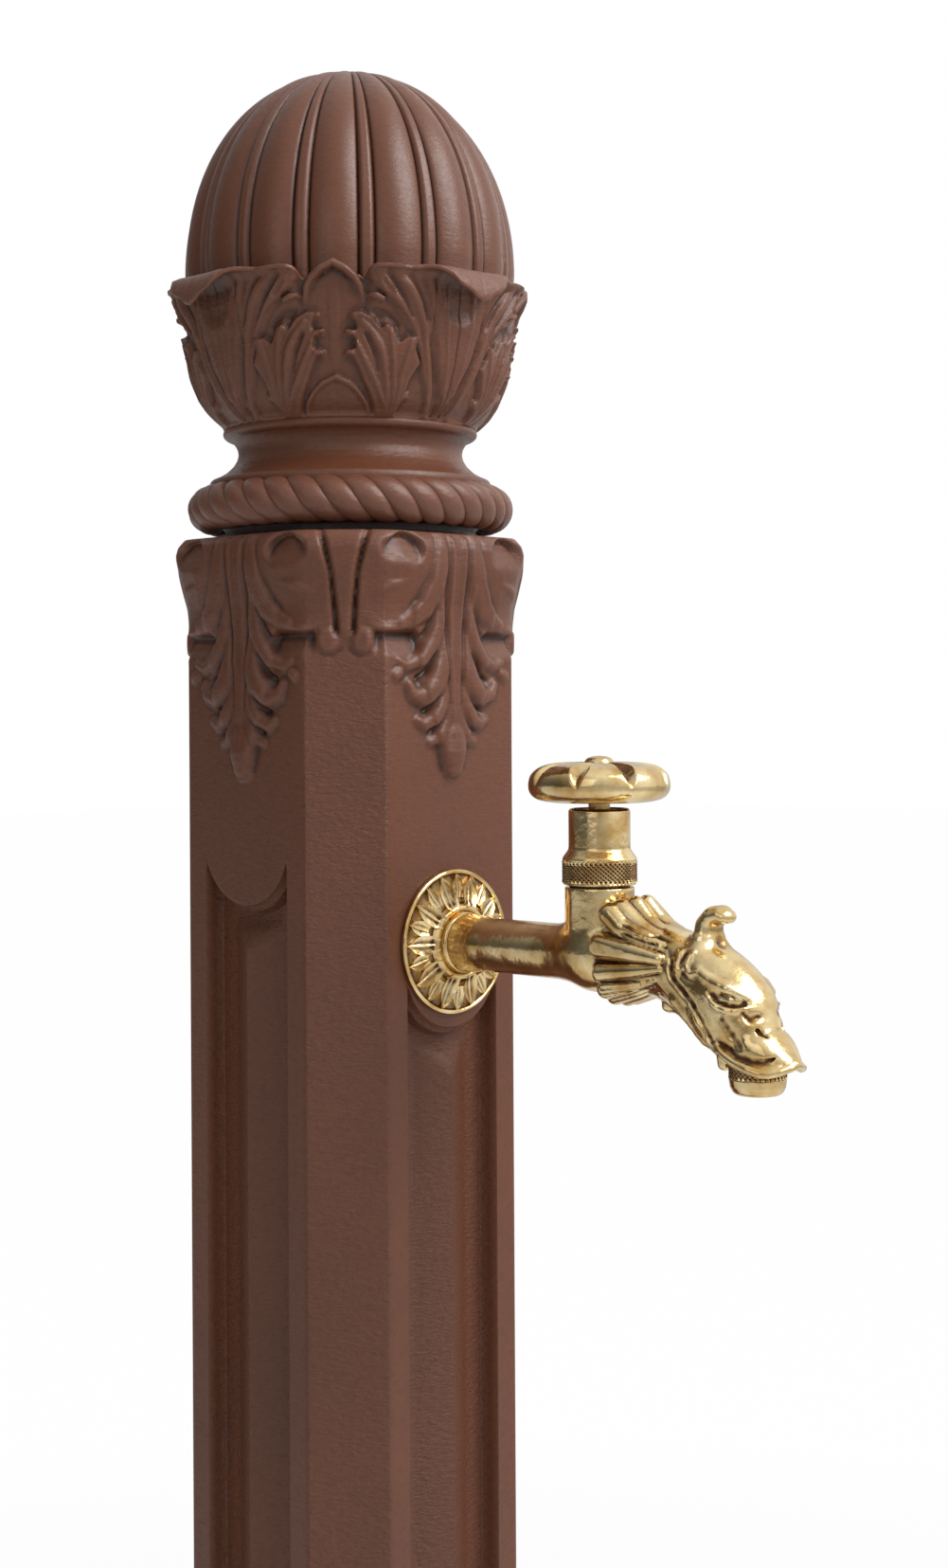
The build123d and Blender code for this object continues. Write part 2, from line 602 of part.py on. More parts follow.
def finial():
    """Hollow top casting: foot, rope ring, neck, leaf cup with tips, and ribbed dome."""
    body = finial_blank() + cup_tips() + dome_ribs()
    body += rod((0, 0, DOME_TOP - 2 * CROWN_HEIGHT), (0, 0, DOME_TOP + CROWN_HEIGHT / 2), CROWN_RADIUS)
    inner_neck = NECK_RADIUS - FINIAL_WALL
    hollow = turned((0, STUD_FINIAL_DEPTH + FINIAL_WALL), (inner_neck, STUD_FINIAL_DEPTH + FINIAL_WALL),
                    (inner_neck, COLLAR_LEVEL), (CUP_BELLY_RADIUS - FINIAL_WALL, CUP_BELLY_LEVEL),
                    (DOME_RADIUS - FINIAL_WALL, DOME_LEVEL),
                    (DOME_RADIUS / 2, DOME_TOP - 3 * FINIAL_WALL), (0, DOME_TOP - 2 * FINIAL_WALL))
    body -= hollow
    body -= rod((0, 0, -OVERRUN), (0, 0, STUD_FINIAL_DEPTH), STUD_RADIUS + RUNNING_GAP)
    return Pos(0, 0, COLUMN_TOP) * Rot(0, 0, FINIAL_TURN) * body


def finial_stud():
    """Threaded bar that the finial screws down on."""
    top = COLUMN_TOP + STUD_FINIAL_DEPTH - RUNNING_GAP
    return rod((0, 0, top - STUD_LENGTH - STUD_FINIAL_DEPTH), (0, 0, top), STUD_RADIUS)


def stud_washer():
    """Washer under the column's top boss."""
    top = COLUMN_TOP - TOP_PLATE - TOP_BOSS_LENGTH
    return ring(LOCKNUT_WASHER_RADIUS, STUD_RADIUS + RUNNING_GAP, top - LOCKNUT_WASHER_THICKNESS, top)


def stud_locknut():
    """Nut that locks the stud in the column's top boss."""
    top = COLUMN_TOP - TOP_PLATE - TOP_BOSS_LENGTH - LOCKNUT_WASHER_THICKNESS
    nut = hexagon(LOCKNUT_ACROSS, top - LOCKNUT_HEIGHT, top)
    return nut - rod((0, 0, top - LOCKNUT_HEIGHT - OVERRUN), (0, 0, top + OVERRUN), STUD_RADIUS + RUNNING_GAP)


def on_riser(shape):
    """Moves a shape made about Z at the origin to the riser pipe's axis."""
    return Pos(0, -RISER_REACH, 0) * shape


def riser_pipe():
    """Steel pipe from the inlet coupling to the elbow."""
    top = TAP_HEIGHT - ELBOW_ARM + ELBOW_ENGAGEMENT
    return on_riser(ring(RISER_RADIUS, RISER_BORE, RISER_FOOT, top))


def pipe_grommet():
    """Rubber bush that centres the pipe in the base's deck."""
    lip = GROMMET_RADIUS + GROMMET_LIP
    under, over = BASE_DECK_UNDER - GROMMET_LIP_THICKNESS, BASE_HEIGHT + GROMMET_LIP_THICKNESS
    inner = RISER_RADIUS + RUNNING_GAP
    snug = GROMMET_RADIUS - RUNNING_GAP
    return on_riser(turned((inner, under), (lip, under), (lip, BASE_DECK_UNDER), (snug, BASE_DECK_UNDER),
                           (snug, BASE_HEIGHT), (lip, BASE_HEIGHT), (lip, over), (inner, over)))


def inlet_coupling():
    """Hexagon coupling that takes the supply pipe from below."""
    top = INLET_FOOT + INLET_LENGTH
    body = hexagon(INLET_ACROSS, INLET_FOOT, top)
    body -= rod((0, 0, RISER_FOOT), (0, 0, top + OVERRUN), RISER_RADIUS + RUNNING_GAP)
    body -= rod((0, 0, INLET_FOOT - OVERRUN), (0, 0, INLET_FOOT + INLET_ENGAGEMENT), INLET_BORE)
    body -= rod((0, 0, INLET_FOOT), (0, 0, RISER_FOOT + OVERRUN), RISER_BORE)
    return on_riser(body)


def mitre_bend(radius):
    """Round bar that comes up along Z and turns towards the tap with a mitred corner."""
    joint = Plane((0, 0, 0), x_dir=(1, 0, 0), z_dir=(0, 1, -1))
    upright = rod((0, 0, radius), (0, 0, -ELBOW_ARM), radius)
    level = rod((0, radius, 0), (0, -ELBOW_ARM, 0), radius)
    return split(upright, joint, Keep.TOP) + split(level, joint, Keep.BOTTOM)


def tap_elbow():
    """Mitred elbow with one socket over the riser and one over the tap's tail."""
    body = mitre_bend(ELBOW_RADIUS)
    socket = ELBOW_ARM - ELBOW_ENGAGEMENT
    body -= rod((0, 0, -socket), (0, 0, -ELBOW_ARM - OVERRUN), RISER_RADIUS + RUNNING_GAP)
    body -= rod((0, -socket, 0), (0, -ELBOW_ARM - OVERRUN, 0), TAIL_RADIUS + RUNNING_GAP)
    return Pos(0, -RISER_REACH, TAP_HEIGHT) * (body - mitre_bend(RISER_BORE))


def tail_backnut():
    """Nut that pulls the tap and its rosette against the column."""
    start = INNER_REACH - TAIL_WASHER_THICKNESS
    nut = hexagon(BACKNUT_ACROSS, start - BACKNUT_THICKNESS, start)
    hole = rod((0, 0, start - BACKNUT_THICKNESS - OVERRUN), (0, 0, start + OVERRUN), TAIL_RADIUS + RUNNING_GAP)
    return along_tap(nut - hole)


def tail_washer():
    """Washer between the backnut and the column's inner wall."""
    start = INNER_REACH - TAIL_WASHER_THICKNESS
    return along_tap(ring(TAIL_WASHER_RADIUS, TAIL_RADIUS + RUNNING_GAP, start, INNER_REACH))


def rosette():
    """Dished disc with a hub and a ring of raised petals."""
    face = FACE_REACH
    hub_top = face + ROSETTE_HUB_HEIGHT
    disc = turned((TAIL_RADIUS + RUNNING_GAP, face), (ROSETTE_RADIUS, face),
                  (ROSETTE_RADIUS, face + ROSETTE_RIM), (ROSETTE_HUB_RADIUS, face + ROSETTE_DISH),
                  (ROSETTE_HUB_RADIUS, hub_top), (TAIL_RADIUS + RUNNING_GAP, hub_top))
    half = PETAL_WIDTH / 2
    start, tip = ROSETTE_HUB_RADIUS - PETAL_RELIEF, ROSETTE_RADIUS - PETAL_TIP_GAP
    middle = (start + tip) / 2
    petal = loft([
        Pos(0, 0, face) * Polygon((start, -half / 2), (middle, -half), (tip, 0), (middle, half), (start, half / 2)),
        Pos(0, 0, face + ROSETTE_DISH + PETAL_RELIEF)
        * Polygon((start, -half / 4), (middle, -half / 4), (tip - half, 0), (middle, half / 4), (start, half / 4)),
    ], ruled=True)
    hole = rod((0, 0, face - OVERRUN), (0, 0, hub_top + OVERRUN), TAIL_RADIUS + RUNNING_GAP)
    body = disc
    body += around(petal, ROSETTE_PETALS)
    return along_tap(body - hole)


def spout_point(along, rise):
    """Point on the tap's middle plane, from shares of the spout's length and drop."""
    return (0, -(VALVE_REACH + along * SPOUT_LENGTH), TAP_HEIGHT + rise * SPOUT_DROP)


def station_plane(along, rise, tilt):
    """Plane square to the spout's run at one station, with x across the tap."""
    lean = math.radians(tilt)
    return Plane(spout_point(along, rise), x_dir=(1, 0, 0), z_dir=(0, -math.cos(lean), math.sin(lean)))


def spout_form():
    """Neck, head and flat bill as one smooth run of oval stations."""
    faces = []
    for along, rise, tilt, depth, width in SPOUT_SHARES:
        oval = Ellipse(width * SPOUT_WIDTH / 2, depth * SPOUT_DEPTH / 2)
        faces.append(station_plane(along, rise, tilt) * oval)
    return loft(faces)


def crest_form():
    """Curl that rises from the crown of the head and bends forward."""
    faces = []
    for along, rise, tilt, thickness in CREST_SHARES:
        faces.append(station_plane(along, rise, tilt) * Circle(thickness * CREST_THICKNESS / 2))
    return loft(faces)


def ruff_forms():
    """Ring of tapering lobes that fans back from the neck like a gill."""
    base_plane = station_plane(RUFF_ALONG_SHARE, 0, -RUFF_LEAN_ANGLE)
    lobes = []
    for lobe in range(RUFF_LOBES):
        angle = 2 * math.pi * (lobe + 0.5) / RUFF_LOBES
        across, up = math.cos(angle), math.sin(angle)
        x, y = across * RUFF_WIDTH_RADIUS, up * RUFF_DEPTH_RADIUS
        start = base_plane.from_local_coords((x, y, 0))
        end = base_plane.from_local_coords((x - across * RUFF_TAPER, y - up * RUFF_TAPER, RUFF_LENGTH))
        lobes.append(rod(start, end, RUFF_LOBE_RADIUS, RUFF_LOBE_END_RADIUS))
    return lobes


def waterway():
    """Cutter for the tap's water passages, seat and sockets."""
    inlet_z = TAP_HEIGHT - INLET_WAY_DROP
    cut = rod((0, -TAIL_END_REACH + OVERRUN, inlet_z), (0, -VALVE_REACH, inlet_z), INLET_WAY_RADIUS)
    cut += rod((0, -VALVE_REACH, inlet_z), (0, -VALVE_REACH, SEAT_Z + OVERRUN), SEAT_RADIUS)
    cut += rod((0, -VALVE_REACH, SEAT_Z), (0, -VALVE_REACH, VALVE_TOP + OVERRUN), CHAMBER_RADIUS)
    places = [spout_point(*share) for share in WATERWAY_SHARES]
    for start, end in zip(places, places[1:]):
        cut += rod(start, end, WATERWAY_RADIUS)
        cut += Pos(*end) * Sphere(WATERWAY_RADIUS)
    cut += rod(places[-1], (0, -NOZZLE_REACH, NOZZLE_SEAT_Z), WATERWAY_RADIUS)
    socket_top = NOZZLE_SEAT_Z + NOZZLE_NECK_LENGTH + NOZZLE_GASKET_THICKNESS
    cut += rod((0, -NOZZLE_REACH, socket_top), (0, -NOZZLE_REACH, NOZZLE_SEAT_Z - OVERRUN),
               NOZZLE_NECK_RADIUS + RUNNING_GAP)
    ring_room = NOZZLE_SEAT_Z - NOZZLE_RING_HEIGHT - NOZZLE_BEVEL_HEIGHT
    cut += rod((0, -NOZZLE_REACH, NOZZLE_SEAT_Z), (0, -NOZZLE_REACH, ring_room - OVERRUN),
               NOZZLE_RING_RADIUS + SEAT_GAP)
    return cut


def tap_body():
    """Brass casting: tail, tube, barrel, gill ruff, crest, head and bill."""
    valve = (0, -VALVE_REACH, TAP_HEIGHT)
    tube_start = FACE_REACH + ROSETTE_HUB_HEIGHT
    body = rod((0, -TAIL_END_REACH, TAP_HEIGHT), (0, -tube_start, TAP_HEIGHT), TAIL_RADIUS)
    body += rod((0, -tube_start, TAP_HEIGHT), valve, TUBE_RADIUS)
    body += rod((0, -tube_start, TAP_HEIGHT), (0, -tube_start - TUBE_COLLAR_LENGTH, TAP_HEIGHT),
                TUBE_COLLAR_RADIUS, TUBE_RADIUS)
    body += rod(valve, (0, -VALVE_REACH, VALVE_TOP), BARREL_RADIUS)
    body += Pos(*valve) * Sphere(BARREL_BASE_RADIUS)
    body += spout_form()
    body += crest_form()
    body += ruff_forms()
    bead = (0, -(VALVE_REACH + JAW_BEAD_ALONG_SHARE * SPOUT_LENGTH), TAP_HEIGHT - JAW_BEAD_DROP_SHARE * SPOUT_DROP)
    body += Pos(*bead) * Sphere(JAW_BEAD_RADIUS)
    body += rod(bead, spout_point(JAW_BEAD_ALONG_SHARE, -JAW_BEAD_ROOT_SHARE), JAW_BEAD_RADIUS)
    body -= rod((0, -VALVE_REACH, VALVE_TOP), (0, -VALVE_REACH, CAP_TOP), CAP_RING_RADIUS + SEAT_GAP)
    return body - waterway()


def on_nozzle(shape):
    """Moves a shape made about Z at the origin to the nozzle's axis."""
    return Pos(0, -NOZZLE_REACH, 0) * shape


def nozzle_ring():
    """Knurled ring with a threaded neck and a bevelled mouth."""
    neck_top = NOZZLE_SEAT_Z + NOZZLE_NECK_LENGTH
    ring_foot = NOZZLE_SEAT_Z - NOZZLE_RING_HEIGHT
    mouth = ring_foot - NOZZLE_BEVEL_HEIGHT
    seat = neck_top - NOZZLE_SEAT_DEPTH
    return on_nozzle(turned(
        (NOZZLE_BORE, mouth), (NOZZLE_BEVEL_RADIUS, mouth), (NOZZLE_RING_RADIUS, ring_foot),
        (NOZZLE_RING_RADIUS, NOZZLE_SEAT_Z), (NOZZLE_NECK_RADIUS, NOZZLE_SEAT_Z),
        (NOZZLE_NECK_RADIUS, neck_top), (NOZZLE_BORE, neck_top), (NOZZLE_BORE, seat),
        (NOZZLE_SEAT_BORE, seat), (NOZZLE_SEAT_BORE, NOZZLE_SEAT_Z), (NOZZLE_BORE, NOZZLE_SEAT_Z),
    ))


def nozzle_gasket():
    """Rubber ring between the nozzle's neck and the end of its socket."""
    low = NOZZLE_SEAT_Z + NOZZLE_NECK_LENGTH
    return on_nozzle(ring(NOZZLE_NECK_RADIUS, WATERWAY_RADIUS, low, low + NOZZLE_GASKET_THICKNESS))


def jet_disc():
    """Pierced disc on the ledge inside the nozzle, which smooths the jet."""
    low = NOZZLE_SEAT_Z + NOZZLE_NECK_LENGTH - NOZZLE_SEAT_DEPTH
    high = low + JET_DISC_THICKNESS
    disc = rod((0, 0, low), (0, 0, high), JET_DISC_RADIUS)
    hole = rod((JET_HOLE_RING, 0, low - OVERRUN), (JET_HOLE_RING, 0, high + OVERRUN), JET_HOLE_RADIUS)
    for drilled in around(hole, JET_HOLES):
        disc -= drilled
    disc -= rod((0, 0, low - OVERRUN), (0, 0, high + OVERRUN), JET_HOLE_RADIUS)
    return on_nozzle(disc)


def body_gasket():
    """Fibre ring between the barrel's mouth and the headwork's flange."""
    return on_valve(ring(BARREL_RADIUS - CAP_WALL, CHAMBER_RADIUS + RUNNING_GAP, VALVE_TOP, FLANGE_FOOT))


def headwork():
    """Threaded insert that guides the spindle and holds its packing."""
    foot = VALVE_TOP - HEADWORK_DEPTH
    thread = CHAMBER_RADIUS - RUNNING_GAP
    nut_bore = SPINDLE_THREAD_RADIUS + RUNNING_GAP
    stem_bore = SPINDLE_RADIUS + RUNNING_GAP
    return on_valve(turned(
        (nut_bore, foot), (thread, foot), (thread, FLANGE_FOOT), (HEADWORK_FLANGE_RADIUS, FLANGE_FOOT),
        (HEADWORK_FLANGE_RADIUS, FLANGE_TOP), (HEADWORK_SLEEVE_RADIUS, FLANGE_TOP),
        (HEADWORK_SLEEVE_RADIUS, HEADWORK_TOP), (GLAND_POCKET_RADIUS, HEADWORK_TOP),
        (GLAND_POCKET_RADIUS, GLAND_POCKET_FOOT), (stem_bore, GLAND_POCKET_FOOT),
        (stem_bore, FLANGE_TOP), (nut_bore, FLANGE_TOP),
    ))


def gland_packing():
    """Packing ring round the spindle."""
    return on_valve(ring(GLAND_POCKET_RADIUS - RUNNING_GAP, SPINDLE_RADIUS + RUNNING_GAP,
                         GLAND_POCKET_FOOT, GLAND_POCKET_FOOT + PACKING_THICKNESS))


def gland_nut():
    """Flanged bush that presses the packing down."""
    foot = GLAND_POCKET_FOOT + PACKING_THICKNESS
    bore = SPINDLE_RADIUS + RUNNING_GAP
    snug = GLAND_POCKET_RADIUS - RUNNING_GAP
    return on_valve(turned((bore, foot), (snug, foot), (snug, HEADWORK_TOP),
                           (HEADWORK_SLEEVE_RADIUS, HEADWORK_TOP),
                           (HEADWORK_SLEEVE_RADIUS, HEADWORK_TOP + GLAND_NUT_FLANGE),
                           (bore, HEADWORK_TOP + GLAND_NUT_FLANGE)))


def knurled_cap():
    """Cover over the headwork: knurled ring, shoulder and plain sleeve."""
    shoulder = CAP_FOOT + CAP_RING_HEIGHT
    sleeve = shoulder + CAP_SHOULDER_HEIGHT
    inner_low, inner_high = HEADWORK_FLANGE_RADIUS + RUNNING_GAP, CAP_SLEEVE_RADIUS - CAP_WALL
    hole = SPINDLE_RADIUS + SEAT_GAP
    return on_valve(turned(
        (inner_low, CAP_FOOT), (CAP_RING_RADIUS, CAP_FOOT), (CAP_RING_RADIUS, shoulder),
        (CAP_SLEEVE_RADIUS, sleeve), (CAP_SLEEVE_RADIUS, CAP_TOP - CAP_EDGE),
        (CAP_SLEEVE_RADIUS - CAP_EDGE, CAP_TOP), (hole, CAP_TOP), (hole, CAP_TOP - CAP_LID),
        (inner_high, CAP_TOP - CAP_LID), (inner_high, FLANGE_TOP), (inner_low, FLANGE_TOP),
    ))


def spindle():
    """Stem with its thread below, a square for the wheel above and a socket for the jumper."""
    foot = TAP_HEIGHT + SPINDLE_FOOT
    shoulder = foot + SPINDLE_THREAD_LENGTH
    top = WHEEL_TOP - SPINDLE_TOP_GAP
    body = rod((0, 0, foot), (0, 0, shoulder), SPINDLE_THREAD_RADIUS)
    body += rod((0, 0, shoulder), (0, 0, WHEEL_FOOT), SPINDLE_RADIUS)
    body += Pos(0, 0, WHEEL_FOOT) * extrude(Rectangle(SPINDLE_SQUARE, SPINDLE_SQUARE), top - WHEEL_FOOT)
    body -= rod((0, 0, foot - OVERRUN), (0, 0, JUMPER_TOP + JUMPER_STEM_LENGTH + RUNNING_GAP),
                JUMPER_STEM_RADIUS + RUNNING_GAP)
    body -= rod((0, 0, top + SPINDLE_TOP_GAP - SCREW_LENGTH - RUNNING_GAP), (0, 0, top + OVERRUN),
                SCREW_SHANK_RADIUS + RUNNING_GAP)
    return on_valve(body)


def jumper():
    """Plate and stem that carry the seat washer below the spindle."""
    body = rod((0, 0, WASHER_TOP), (0, 0, JUMPER_TOP), JUMPER_DISC_RADIUS)
    body += rod((0, 0, JUMPER_TOP), (0, 0, JUMPER_TOP + JUMPER_STEM_LENGTH), JUMPER_STEM_RADIUS)
    pin_foot = SEAT_Z - JUMPER_NUT_HEIGHT
    body += rod((0, 0, pin_foot), (0, 0, WASHER_TOP), SCREW_SHANK_RADIUS)
    return on_valve(body)


def seat_washer():
    """Rubber disc that closes the seat."""
    return on_valve(ring(SEAT_WASHER_RADIUS, SCREW_SHANK_RADIUS + RUNNING_GAP, SEAT_Z, WASHER_TOP))


def jumper_nut():
    """Small nut that holds the rubber disc on the jumper."""
    nut = hexagon(JUMPER_NUT_ACROSS, SEAT_Z - JUMPER_NUT_HEIGHT, SEAT_Z)
    hole = rod((0, 0, SEAT_Z - JUMPER_NUT_HEIGHT - OVERRUN), (0, 0, SEAT_Z + OVERRUN),
               SCREW_SHANK_RADIUS + RUNNING_GAP)
    return on_valve(nut - hole)


def handwheel():
    """Thick lobed wheel, hollow below, with a groove between lobes."""
    rim_top = WHEEL_FOOT + WHEEL_RIM_HEIGHT
    low, high = WHEEL_FOOT + WHEEL_EDGE_ROUND, rim_top - WHEEL_EDGE_ROUND
    outer, inner = WHEEL_RADIUS, WHEEL_RADIUS - WHEEL_EDGE_ROUND
    bend = WHEEL_EDGE_ROUND * (1 - math.sqrt(0.5))
    body = turned(
        (0, WHEEL_FOOT), (WHEEL_HUB_RADIUS, WHEEL_FOOT), (WHEEL_HUB_RADIUS, WHEEL_FOOT + WHEEL_HOLLOW_DEPTH),
        (WHEEL_HOLLOW_RADIUS, WHEEL_FOOT + WHEEL_HOLLOW_DEPTH), (WHEEL_HOLLOW_RADIUS, WHEEL_FOOT),
        (inner, WHEEL_FOOT), (outer - bend, WHEEL_FOOT + bend), (outer, low), (outer, high),
        (outer - bend, rim_top - bend), (inner, rim_top), (0, WHEEL_TOP),
    )
    kite = Polygon((-GROOVE_RADIUS, GROOVE_RADIUS), (-GROOVE_RADIUS / 2, -GROOVE_RADIUS),
                   (GROOVE_RADIUS / 2, -GROOVE_RADIUS), (GROOVE_RADIUS, GROOVE_RADIUS))
    run = (WHEEL_RADIUS + GROOVE_RADIUS - GROOVE_START, 0, -GROOVE_FALL)
    groove = Plane((GROOVE_START, 0, WHEEL_TOP + GROOVE_RADIUS), x_dir=(0, 1, 0), z_dir=run) * extrude(
        kite, 2 * WHEEL_RADIUS)
    for cut in around(groove, WHEEL_GROOVES, 180 / WHEEL_GROOVES):
        body -= cut
    square = SPINDLE_SQUARE + 2 * RUNNING_GAP
    body -= Pos(0, 0, WHEEL_FOOT - OVERRUN) * extrude(
        Rectangle(square, square), WHEEL_TOP + 2 * OVERRUN - WHEEL_FOOT)
    body -= rod((0, 0, WHEEL_TOP - SPINDLE_TOP_GAP), (0, 0, WHEEL_TOP + OVERRUN), SCREW_HEAD_RADIUS + RUNNING_GAP)
    return on_valve(body)


def wheel_screw():
    """Domed screw that holds the wheel on the spindle's square."""
    seat, dome_top = WHEEL_TOP - SPINDLE_TOP_GAP, WHEEL_TOP + SCREW_HEAD_HEIGHT
    dome_radius = (SCREW_HEAD_RADIUS ** 2 + SCREW_HEAD_HEIGHT ** 2) / (2 * SCREW_HEAD_HEIGHT)
    head = rod((0, 0, seat), (0, 0, dome_top), SCREW_HEAD_RADIUS)
    head &= Pos(0, 0, dome_top - dome_radius) * Sphere(dome_radius)
    return on_valve(head + rod((0, 0, WHEEL_TOP - SCREW_LENGTH), (0, 0, seat), SCREW_SHANK_RADIUS))


PIECES = (
    base, column, base_bolts, base_washers, finial, finial_stud, stud_washer, stud_locknut,
    riser_pipe, pipe_grommet, inlet_coupling, tap_elbow, tail_backnut, tail_washer,
    rosette, tap_body, nozzle_ring, nozzle_gasket, jet_disc,
    body_gasket, headwork, gland_packing, gland_nut, knurled_cap,
    spindle, jumper, seat_washer, jumper_nut, handwheel, wheel_screw,
)


def main():
    """Builds every piece and writes it to its own file."""
    os.makedirs("parts", exist_ok=True)
    for make in PIECES:
        made = make()
        solids = [s for shape in (made if isinstance(made, list) else [made]) for s in shape.solids()]
        export_step(Compound(children=solids), f"parts/{make.__name__}.step")
        print(make.__name__, len(solids), round(sum(s.volume for s in solids)))


main()
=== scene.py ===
"""Looks of a garden standpipe: painted cast column, leaf-cup finial and brass creature-headed tap.

Sizes inside the classes are millimetres in the part's own frame: the origin is on the column's
axis at the ground, +Z is up and the tap faces -Y. "Reach" is a distance from the axis towards
the tap. Meshes are turned into metres as they are made.
"""
import json
import logging
import math
from contextlib import contextmanager
from dataclasses import dataclass
from enum import Enum
from typing import Iterable, Iterator, Sequence

import bmesh
import bpy
import numpy as np
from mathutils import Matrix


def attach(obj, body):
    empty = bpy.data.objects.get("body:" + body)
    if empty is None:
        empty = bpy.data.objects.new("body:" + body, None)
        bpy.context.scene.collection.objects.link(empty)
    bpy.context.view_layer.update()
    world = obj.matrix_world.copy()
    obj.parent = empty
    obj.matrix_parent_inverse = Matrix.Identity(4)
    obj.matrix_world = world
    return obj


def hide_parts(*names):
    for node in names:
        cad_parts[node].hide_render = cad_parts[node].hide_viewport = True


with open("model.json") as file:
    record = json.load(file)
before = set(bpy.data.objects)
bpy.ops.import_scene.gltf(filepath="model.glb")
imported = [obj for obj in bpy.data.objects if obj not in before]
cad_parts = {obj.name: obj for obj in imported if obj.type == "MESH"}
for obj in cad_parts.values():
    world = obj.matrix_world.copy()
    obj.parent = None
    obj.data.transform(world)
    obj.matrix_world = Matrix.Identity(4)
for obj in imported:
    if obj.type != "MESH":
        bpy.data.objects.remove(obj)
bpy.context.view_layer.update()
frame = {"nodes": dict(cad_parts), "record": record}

import openvdb
from mathutils import Matrix, Vector

MM = 0.001
LOG = logging.getLogger("standpipe")

Faces = list[tuple[int, ...]]
Pairs = Sequence[tuple[float, float]]


class Body(str, Enum):
    """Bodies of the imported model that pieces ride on."""

    POST = "post"
    SPINDLE = "spindle_set"


class Slot(str, Enum):
    """Material slots of the record."""

    IRON = "painted_iron"
    STEEL = "galvanised_steel"
    AGED = "aged_brass"
    TURNED = "turned_brass"
    RUBBER = "black_rubber"


# Number helpers


def ramp(low: float, high: float, value: np.ndarray) -> np.ndarray:
    """Smooth step from 0 at low to 1 at high.

    Args:
        low: value where the step starts.
        high: value where it ends.
        value: numbers to judge.

    Returns:
        Numbers from 0 to 1.
    """
    share = np.clip((value - low) / (high - low), 0.0, 1.0)
    return share * share * (3.0 - 2.0 * share)


def soft_max(first: np.ndarray, second: np.ndarray, blend: float) -> np.ndarray:
    """Larger of two fields, with a rounded fillet where they meet.

    Args:
        first: one field.
        second: the other field.
        blend: width of the fillet.

    Returns:
        The joined field.
    """
    near = np.maximum(blend - np.abs(first - second), 0.0) / blend
    return np.maximum(first, second) + near * near * blend * 0.25


def soft_min(first: np.ndarray, second: np.ndarray, blend: float) -> np.ndarray:
    """Smaller of two fields, with a rounded fillet where they meet."""
    return -soft_max(-first, -second, blend)


def paint(red: float, green: float, blue: float) -> tuple[float, float, float, float]:
    """Linear colour from screen values of 0 to 255.

    Args:
        red: screen red.
        green: screen green.
        blue: screen blue.

    Returns:
        Linear red, green, blue and alpha.
    """
    def straight(value: float) -> float:
        """One channel made linear."""
        share = value / 255.0
        return share / 12.92 if share <= 0.04045 else ((share + 0.055) / 1.055) ** 2.4
    return straight(red), straight(green), straight(blue), 1.0


# Mesh helpers


def grid_faces(rows: int, columns: int, ring: bool = True, loop: bool = False) -> Faces:
    """Quads of a grid whose points run row by row.

    Args:
        rows: number of rows.
        columns: number of points in a row.
        ring: whether each row closes on itself.
        loop: whether the last row joins the first.

    Returns:
        Faces as tuples of point numbers.
    """
    across = columns if ring else columns - 1
    down = rows if loop else rows - 1
    row, column = np.meshgrid(np.arange(down), np.arange(across), indexing="ij")
    after, above = (column + 1) % columns, (row + 1) % rows
    quads = np.stack([row * columns + column, row * columns + after,
                      above * columns + after, above * columns + column], axis=-1)
    return [tuple(quad) for quad in quads.reshape(-1, 4).tolist()]


def turned_grid(profile: Pairs, columns: int, loop: bool = False) -> tuple[np.ndarray, Faces]:
    """Points and faces of a form turned about Z.

    Args:
        profile: (radius, level) points from the bottom up the outside.
        columns: points round the form.
        loop: whether the outline closes on itself, as for a ring.

    Returns:
        Points in millimetres and faces. Points on the axis become one pole.
    """
    angle = np.linspace(0.0, 2.0 * math.pi, columns, endpoint=False)
    radius, level = np.array(profile).T
    points = np.stack([radius[:, None] * np.cos(angle), radius[:, None] * np.sin(angle),
                       np.repeat(level[:, None], columns, axis=1)], axis=-1).reshape(-1, 3)
    return points, grid_faces(len(radius), columns, True, loop)


def rounded(corners: Pairs, radius: float, steps: int = 4) -> list[tuple[float, float]]:
    """Outline with its inner corners rounded.

    Args:
        corners: (radius, level) corner points, open at both ends.
        radius: size of the rounding.
        steps: points in each rounding, less one.

    Returns:
        The finer outline.
    """
    marks = [np.array(corner, float) for corner in corners]
    line = [tuple(marks[0])]
    for before, corner, after in zip(marks, marks[1:], marks[2:]):
        reach = min(radius, 0.45 * np.linalg.norm(before - corner), 0.45 * np.linalg.norm(after - corner))
        start = corner + (before - corner) / max(np.linalg.norm(before - corner), 1e-9) * reach
        end = corner + (after - corner) / max(np.linalg.norm(after - corner), 1e-9) * reach
        for step in range(steps + 1):
            t = step / steps
            line.append(tuple((1 - t) ** 2 * start + 2 * t * (1 - t) * corner + t * t * end))
    line.append(tuple(marks[-1]))
    return line


@contextmanager
def editing(mesh: bpy.types.Mesh) -> Iterator[bmesh.types.BMesh]:
    """Opens a mesh for editing and writes it back.

    Args:
        mesh: mesh to edit.

    Yields:
        The open mesh.
    """
    shape = bmesh.new()
    shape.from_mesh(mesh)
    yield shape
    shape.to_mesh(mesh)
    shape.free()


def face_out(mesh: bpy.types.Mesh, sharp: float = 50.0) -> bpy.types.Mesh:
    """Turns every face of a closed mesh outwards and marks its sharp edges."""
    with editing(mesh) as shape:
        bmesh.ops.recalc_face_normals(shape, faces=shape.faces)
    mesh.shade_smooth()
    mesh.set_sharp_from_angle(angle=math.radians(sharp))
    return mesh


